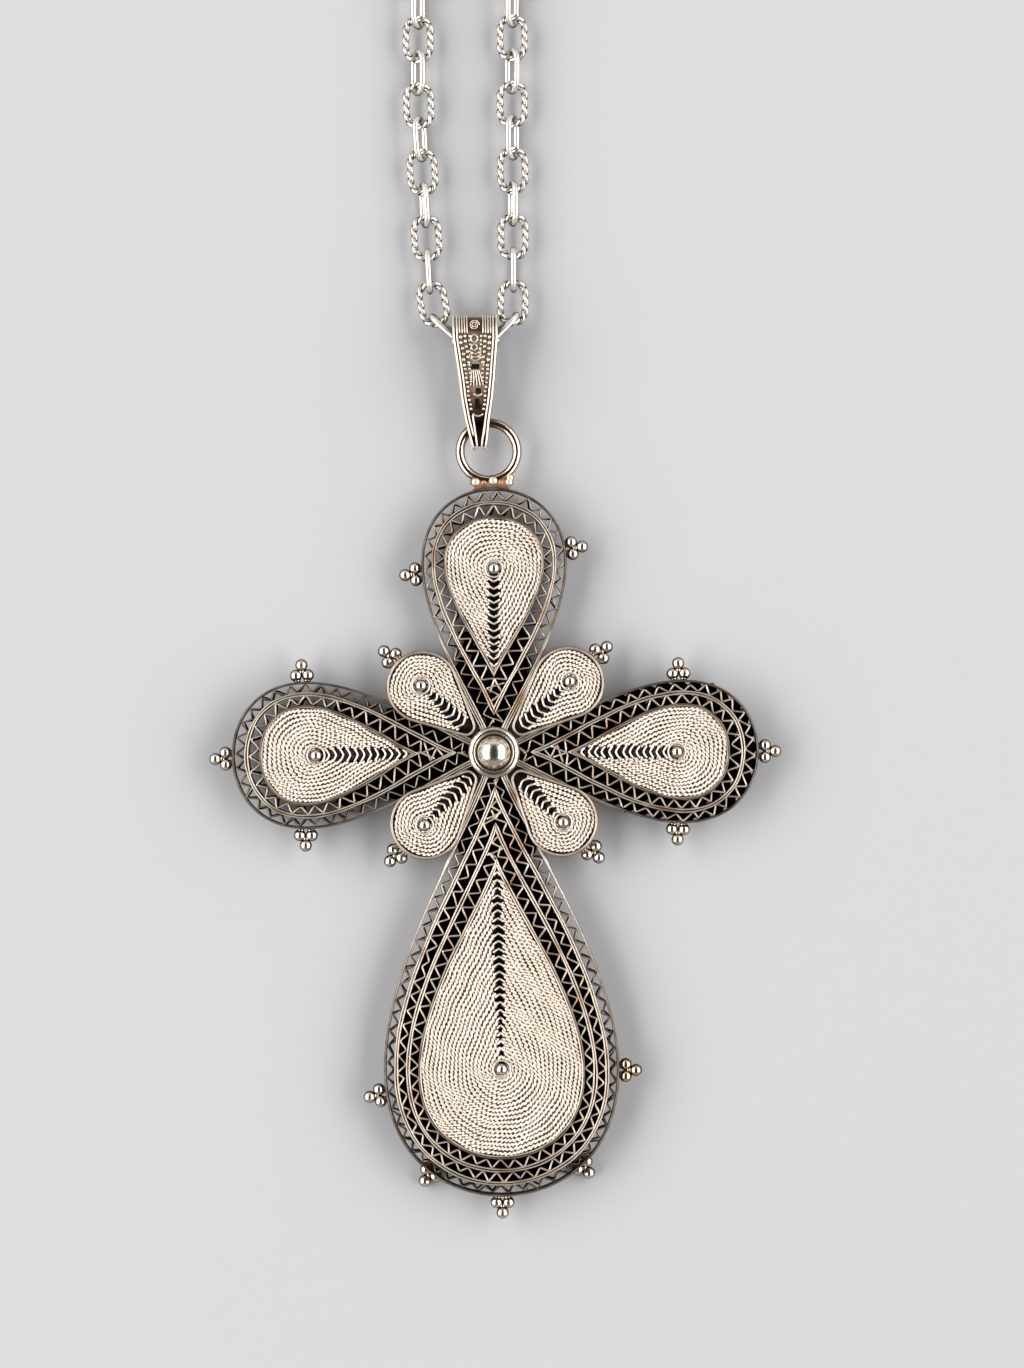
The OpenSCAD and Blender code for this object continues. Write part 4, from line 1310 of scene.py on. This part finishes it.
# Scroll and rings
spiral = np.linspace(0, 2.2 * 2 * math.pi, 44)
spiral_r = 0.52 - spiral * 0.03
parts.append(bail_wire(np.column_stack([TOP_X + spiral_r * np.cos(spiral), 1.1 - spiral_r * np.sin(spiral)]),
                       0.12, 0.02))
once_round = np.linspace(0, 2 * math.pi, 20)
for down, r in ((2.45, 0.36), (3.3, 0.3)):
    parts.append(bail_wire(np.column_stack([TOP_X + r * np.cos(once_round), down - r * np.sin(once_round)]),
                           0.15, 0.02))
# Bent bars, fan and curved bars
for down in (3.95, 4.3, 4.62):
    parts.append(bail_wire([(-2.45, down - 0.3), (-2.1, down - 0.05), (-1.85, down), (-1.6, down - 0.05),
                            (-1.25, down - 0.3)], 0.15, 0.02))
for spread in (-1, -0.5, 0, 0.5, 1):
    parts.append(bail_wire([(-1.85 + spread * 0.36, 5.55), (-1.75 + spread * 0.5, 6.4),
                            (-1.68 + spread * 0.66, 7.15)], 0.12))
bow = np.linspace(-1, 1, 9)
for down, half in ((7.88, 0.42), (9.88, 0.5)):
    parts.append(bail_wire(np.column_stack([-1.6 + half * bow, down + 0.22 * (1 - bow ** 2)]), 0.18, 0.03))
make_piece("bail_filigree", parts, [bail_silver, oxidised_silver], ["bail"])

# %% [markdown]
# ## Chain
# The chain alternates two links. One is bent from two wires twisted to a rope, the other from smooth wire.
# The rope's section is two circles side by side that turn as they go. Both links are made once, flat, and
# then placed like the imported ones. All links of a half are one piece.

# %% Link shapes
TWIST = dict(length=4.8, width=3.1, wire=0.65)
SMOOTH = dict(length=4.7, width=2.9, wire=0.6)
LINK_PLAY = 0.15
LINK_STEP = ((TWIST["length"] - TWIST["wire"] + SMOOTH["length"] - SMOOTH["wire"]) / 2
             - (TWIST["wire"] + SMOOTH["wire"]) / 2 - LINK_PLAY)
ROPE_TURN = 1.9  # a full turn of the rope, two grains
ROPE_STEP = 0.17
ROPE_WIDE = 1.2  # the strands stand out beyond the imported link's plain wire


def oval(link, step):
    """Middle line of a link along +X"""
    straight = (link["length"] - link["width"]) / 2
    bend = (link["width"] - link["wire"]) / 2
    right = np.radians(np.linspace(-90, 90, 60))
    path = np.vstack([
        np.column_stack([straight + bend * np.cos(right), bend * np.sin(right)]),
        np.column_stack([-straight - bend * np.cos(right), -bend * np.sin(right)])])
    return even(path, step)


def rope_section(wire, turns, corners=12):
    """Two touching strands, turned about the wire's middle, and how far out each corner is"""
    angle = np.arange(corners) * 2 * math.pi / corners
    strand, off = wire * 0.3, wire * 0.19
    radius = off * np.abs(np.cos(angle)) + np.sqrt(strand ** 2 - (off * np.sin(angle)) ** 2)
    spun = angle[None] + turns[:, None]
    out_share = (radius - radius.min()) / np.ptp(radius)
    return np.stack([radius * np.cos(spun), radius * np.sin(spun)], -1), out_share


def flat_link(link):
    """One link, flat in XY: its points, faces and crest, and the directions that look out of its wire"""
    if link is TWIST:
        path = oval(link, ROPE_STEP)
        count = len(path)
        # The rope looks the same after half a turn, so half turns still meet at the joint
        turns = round(count * ROPE_STEP / ROPE_TURN * 2) / 2
        angles = np.arange(count) / count * turns * 2 * math.pi
        section, out_share = rope_section(link["wire"] * ROPE_WIDE, angles)
        crest = np.tile(np.clip(out_share * 3 + 0.15, 0, 1), count)
    else:
        path = oval(link, 0.28)
        section = round_section(link["wire"], corners=10)
        crest = np.ones(len(path) * 10)
    points, faces = sweep(path, section)
    outward = points - np.repeat(np.column_stack([path, np.zeros(len(path))]), len(points) // len(path), 0)
    return points, faces, crest, outward / np.linalg.norm(outward, axis=1, keepdims=True)


TWIST_LINK = flat_link(TWIST)
SMOOTH_LINK = flat_link(SMOOTH)
print("faces in a twisted and a smooth link:", len(TWIST_LINK[1]), len(SMOOTH_LINK[1]))

# %% [markdown]
# A link is rolled about its length, tilted, and laid between its two joints. A cloth rubs what looks up, so
# crest follows from the directions that look out of the wire, after they are turned with the link. Its low
# crest at the sides is partly tarnish and partly painted shade.

# %% Place a link
def placed_link(link, a, b, z, roll, tilt):
    """A link rolled about its length, tilted and laid between two joints; its crest looks up"""
    r, t, h = math.radians(roll), math.radians(tilt), math.atan2(b[1] - a[1], b[0] - a[0])
    about_x = np.array([[1, 0, 0], [0, math.cos(r), -math.sin(r)], [0, math.sin(r), math.cos(r)]])
    about_y = np.array([[math.cos(t), 0, math.sin(t)], [0, 1, 0], [-math.sin(t), 0, math.cos(t)]])
    about_z = np.array([[math.cos(h), -math.sin(h), 0], [math.sin(h), math.cos(h), 0], [0, 0, 1]])
    turn_all = (about_z @ about_y @ about_x).T
    points, faces, crest, outward = link
    crest = crest * rubbed_and_shaded((outward @ turn_all)[:, 2], 0.2)
    return points @ turn_all + [(a[0] + b[0]) / 2, (a[1] + b[1]) / 2, z], faces, crest, 0


print("link step", round(LINK_STEP, 2), "mm")

# %% [markdown]
# The chain follows the photograph as far as that shows it: from the bail up in two nearly straight strands.
# Beyond the picture it flares out and lies in one round loop. Joints are set along it in even steps, and
# each link spans two of them.

# %% Path of the chain
LOOP_X = -2.9
STRAND_OUT = 4.72
STRAND_LEAN_Y = ARM_LENGTH + 38.6
STRAND_TOP_Y = ARM_LENGTH + 53.1
FLARE_R = 20
LOOP_R = 57
CLASP_SPAN = 18
FLARE_TURN = math.acos((STRAND_OUT + FLARE_R) / (LOOP_R + FLARE_R))
LOOP_Y = STRAND_TOP_Y + (LOOP_R + FLARE_R) * math.sin(FLARE_TURN)
# side of the loop; first two joints; tilt of the first link; height and tilt of the link beside the bail
HALVES = {
    "left": dict(side=-1, start=(-5.78, ARM_LENGTH + 16.84), knee=(-6.45, ARM_LENGTH + 20.05), first_tilt=5.2,
                 beside_z=2.17, beside_tilt=8.8),
    "right": dict(side=1, start=(1.84, ARM_LENGTH + 16.93), knee=(1.95, ARM_LENGTH + 20.15), first_tilt=4,
                  beside_z=2.22, beside_tilt=6.6),
}


def half_path(half):
    """Fine path of half a chain, from the joint beside the bail to the middle of the far side"""
    out = [[(x - LOOP_X) * half["side"], y] for x, y in (half["start"], half["knee"])]
    out += [[STRAND_OUT, STRAND_LEAN_Y], [STRAND_OUT, STRAND_TOP_Y]]
    for turn in np.linspace(0, FLARE_TURN, 60)[1:]:
        out.append([STRAND_OUT + FLARE_R * (1 - math.cos(turn)), STRAND_TOP_Y + FLARE_R * math.sin(turn)])
    for turn in np.linspace(-FLARE_TURN, math.pi / 2, 400)[1:]:
        out.append([LOOP_R * math.cos(turn), LOOP_Y + LOOP_R * math.sin(turn)])
    path = np.array(out)
    return np.column_stack([LOOP_X + half["side"] * path[:, 0], path[:, 1]])


def half_joints(half):
    """Joints between links in even steps, up to the clasp"""
    path = half_path(half)
    gone = np.concatenate([[0], np.cumsum(np.linalg.norm(np.diff(path, axis=0), axis=1))])
    to_clasp = gone[-1] - CLASP_SPAN / 2
    count = 2 * math.ceil(to_clasp / (2 * LINK_STEP))
    at = np.arange(count + 1) * to_clasp / count
    return np.column_stack([np.interp(at, gone, path[:, 0]), np.interp(at, gone, path[:, 1])])


print("joints:", {name: len(half_joints(half)) for name, half in HALVES.items()})

# %% [markdown]
# Twisted links lie flat and smooth ones stand on edge between them, each rolled a little to one side or the
# other. Next to the bail the links climb to the one that the bail hangs on, so those have their own heights
# and tilts.

# %% Build both halves
BAIL_LINK = np.array([-1.855, ARM_LENGTH + 14.84])
BAIL_LINK_Z = 1.92
FIRST_Z = 1.575
TWIST_Z = 1.31
ON_EDGE = 90
BESIDE_ROLL = 80

for name, half in HALVES.items():
    joints = half_joints(half)
    parts = [placed_link(TWIST_LINK, joints[0], joints[1], FIRST_Z, 0, half["first_tilt"])]
    for i in range(2, len(joints)):
        if i % 2 == 0:
            roll = 24 * math.sin(math.radians(i * 75 + 30))
            z = (SMOOTH["width"] - SMOOTH["wire"]) / 2 * math.cos(math.radians(roll)) + SMOOTH["wire"] / 2
            parts.append(placed_link(SMOOTH_LINK, joints[i - 1], joints[i], z, ON_EDGE - roll, 0))
        else:
            parts.append(placed_link(TWIST_LINK, joints[i - 1], joints[i], TWIST_Z, 0, 0))
    beside = BAIL_LINK + [half["side"] * LINK_STEP / 2, 0]
    parts.append(placed_link(SMOOTH_LINK, half["start"], beside, half["beside_z"], half["side"] * BESIDE_ROLL,
                             -half["beside_tilt"]))
    if name == "left":
        parts.append(placed_link(TWIST_LINK, BAIL_LINK - [LINK_STEP / 2, 0], BAIL_LINK + [LINK_STEP / 2, 0],
                                 BAIL_LINK_Z, 0, 0))
    make_piece(f"chain_{name}_links", parts, [chain_silver], [f"chain_{name}"])

# %% [markdown]
# ## Clasp
# The photograph doesn't show the clasp, so it is the plainest one: an S of round wire. Its line is one
# hook, and the same hook turned by half a turn.

# %% Clasp
CLASP_WIRE = 0.9
CLASP_BEND = 1.9
CLASP_Z = 1.36

clasp_y = LOOP_Y + LOOP_R * math.cos(CLASP_SPAN / 2 / LOOP_R)
link_over = (SMOOTH["length"] - SMOOTH["wire"] - LINK_STEP) / 2
hook_x = CLASP_SPAN / 2 - link_over + (SMOOTH["wire"] + CLASP_WIRE) / 2 + LINK_PLAY - CLASP_BEND
lean = math.degrees(math.asin(CLASP_BEND / hook_x))
hook = np.radians(np.linspace(-90 - lean, 160 - lean, 40))
right_hook = np.column_stack([hook_x + CLASP_BEND * np.cos(hook), CLASP_BEND * np.sin(hook)])
s_path = even(np.vstack([-right_hook[::-1], right_hook]), 0.35, closed=False)
s_path = np.column_stack([s_path[:, 0] + LOOP_X, s_path[:, 1] + clasp_y, np.full(len(s_path), CLASP_Z)])
make_piece("clasp_hook", [(*tube(s_path, CLASP_WIRE, 14, closed=False), 0)], [chain_silver], ["clasp"])

# %% [markdown]
# ## Triangles
# The triangles of the pieces added to the imported model are counted.

# %% Triangles
added = [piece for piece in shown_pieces() if piece.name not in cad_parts]
triangles = sum(len(face.vertices) - 2 for piece in added for face in piece.data.polygons)
print("triangles added:", triangles)
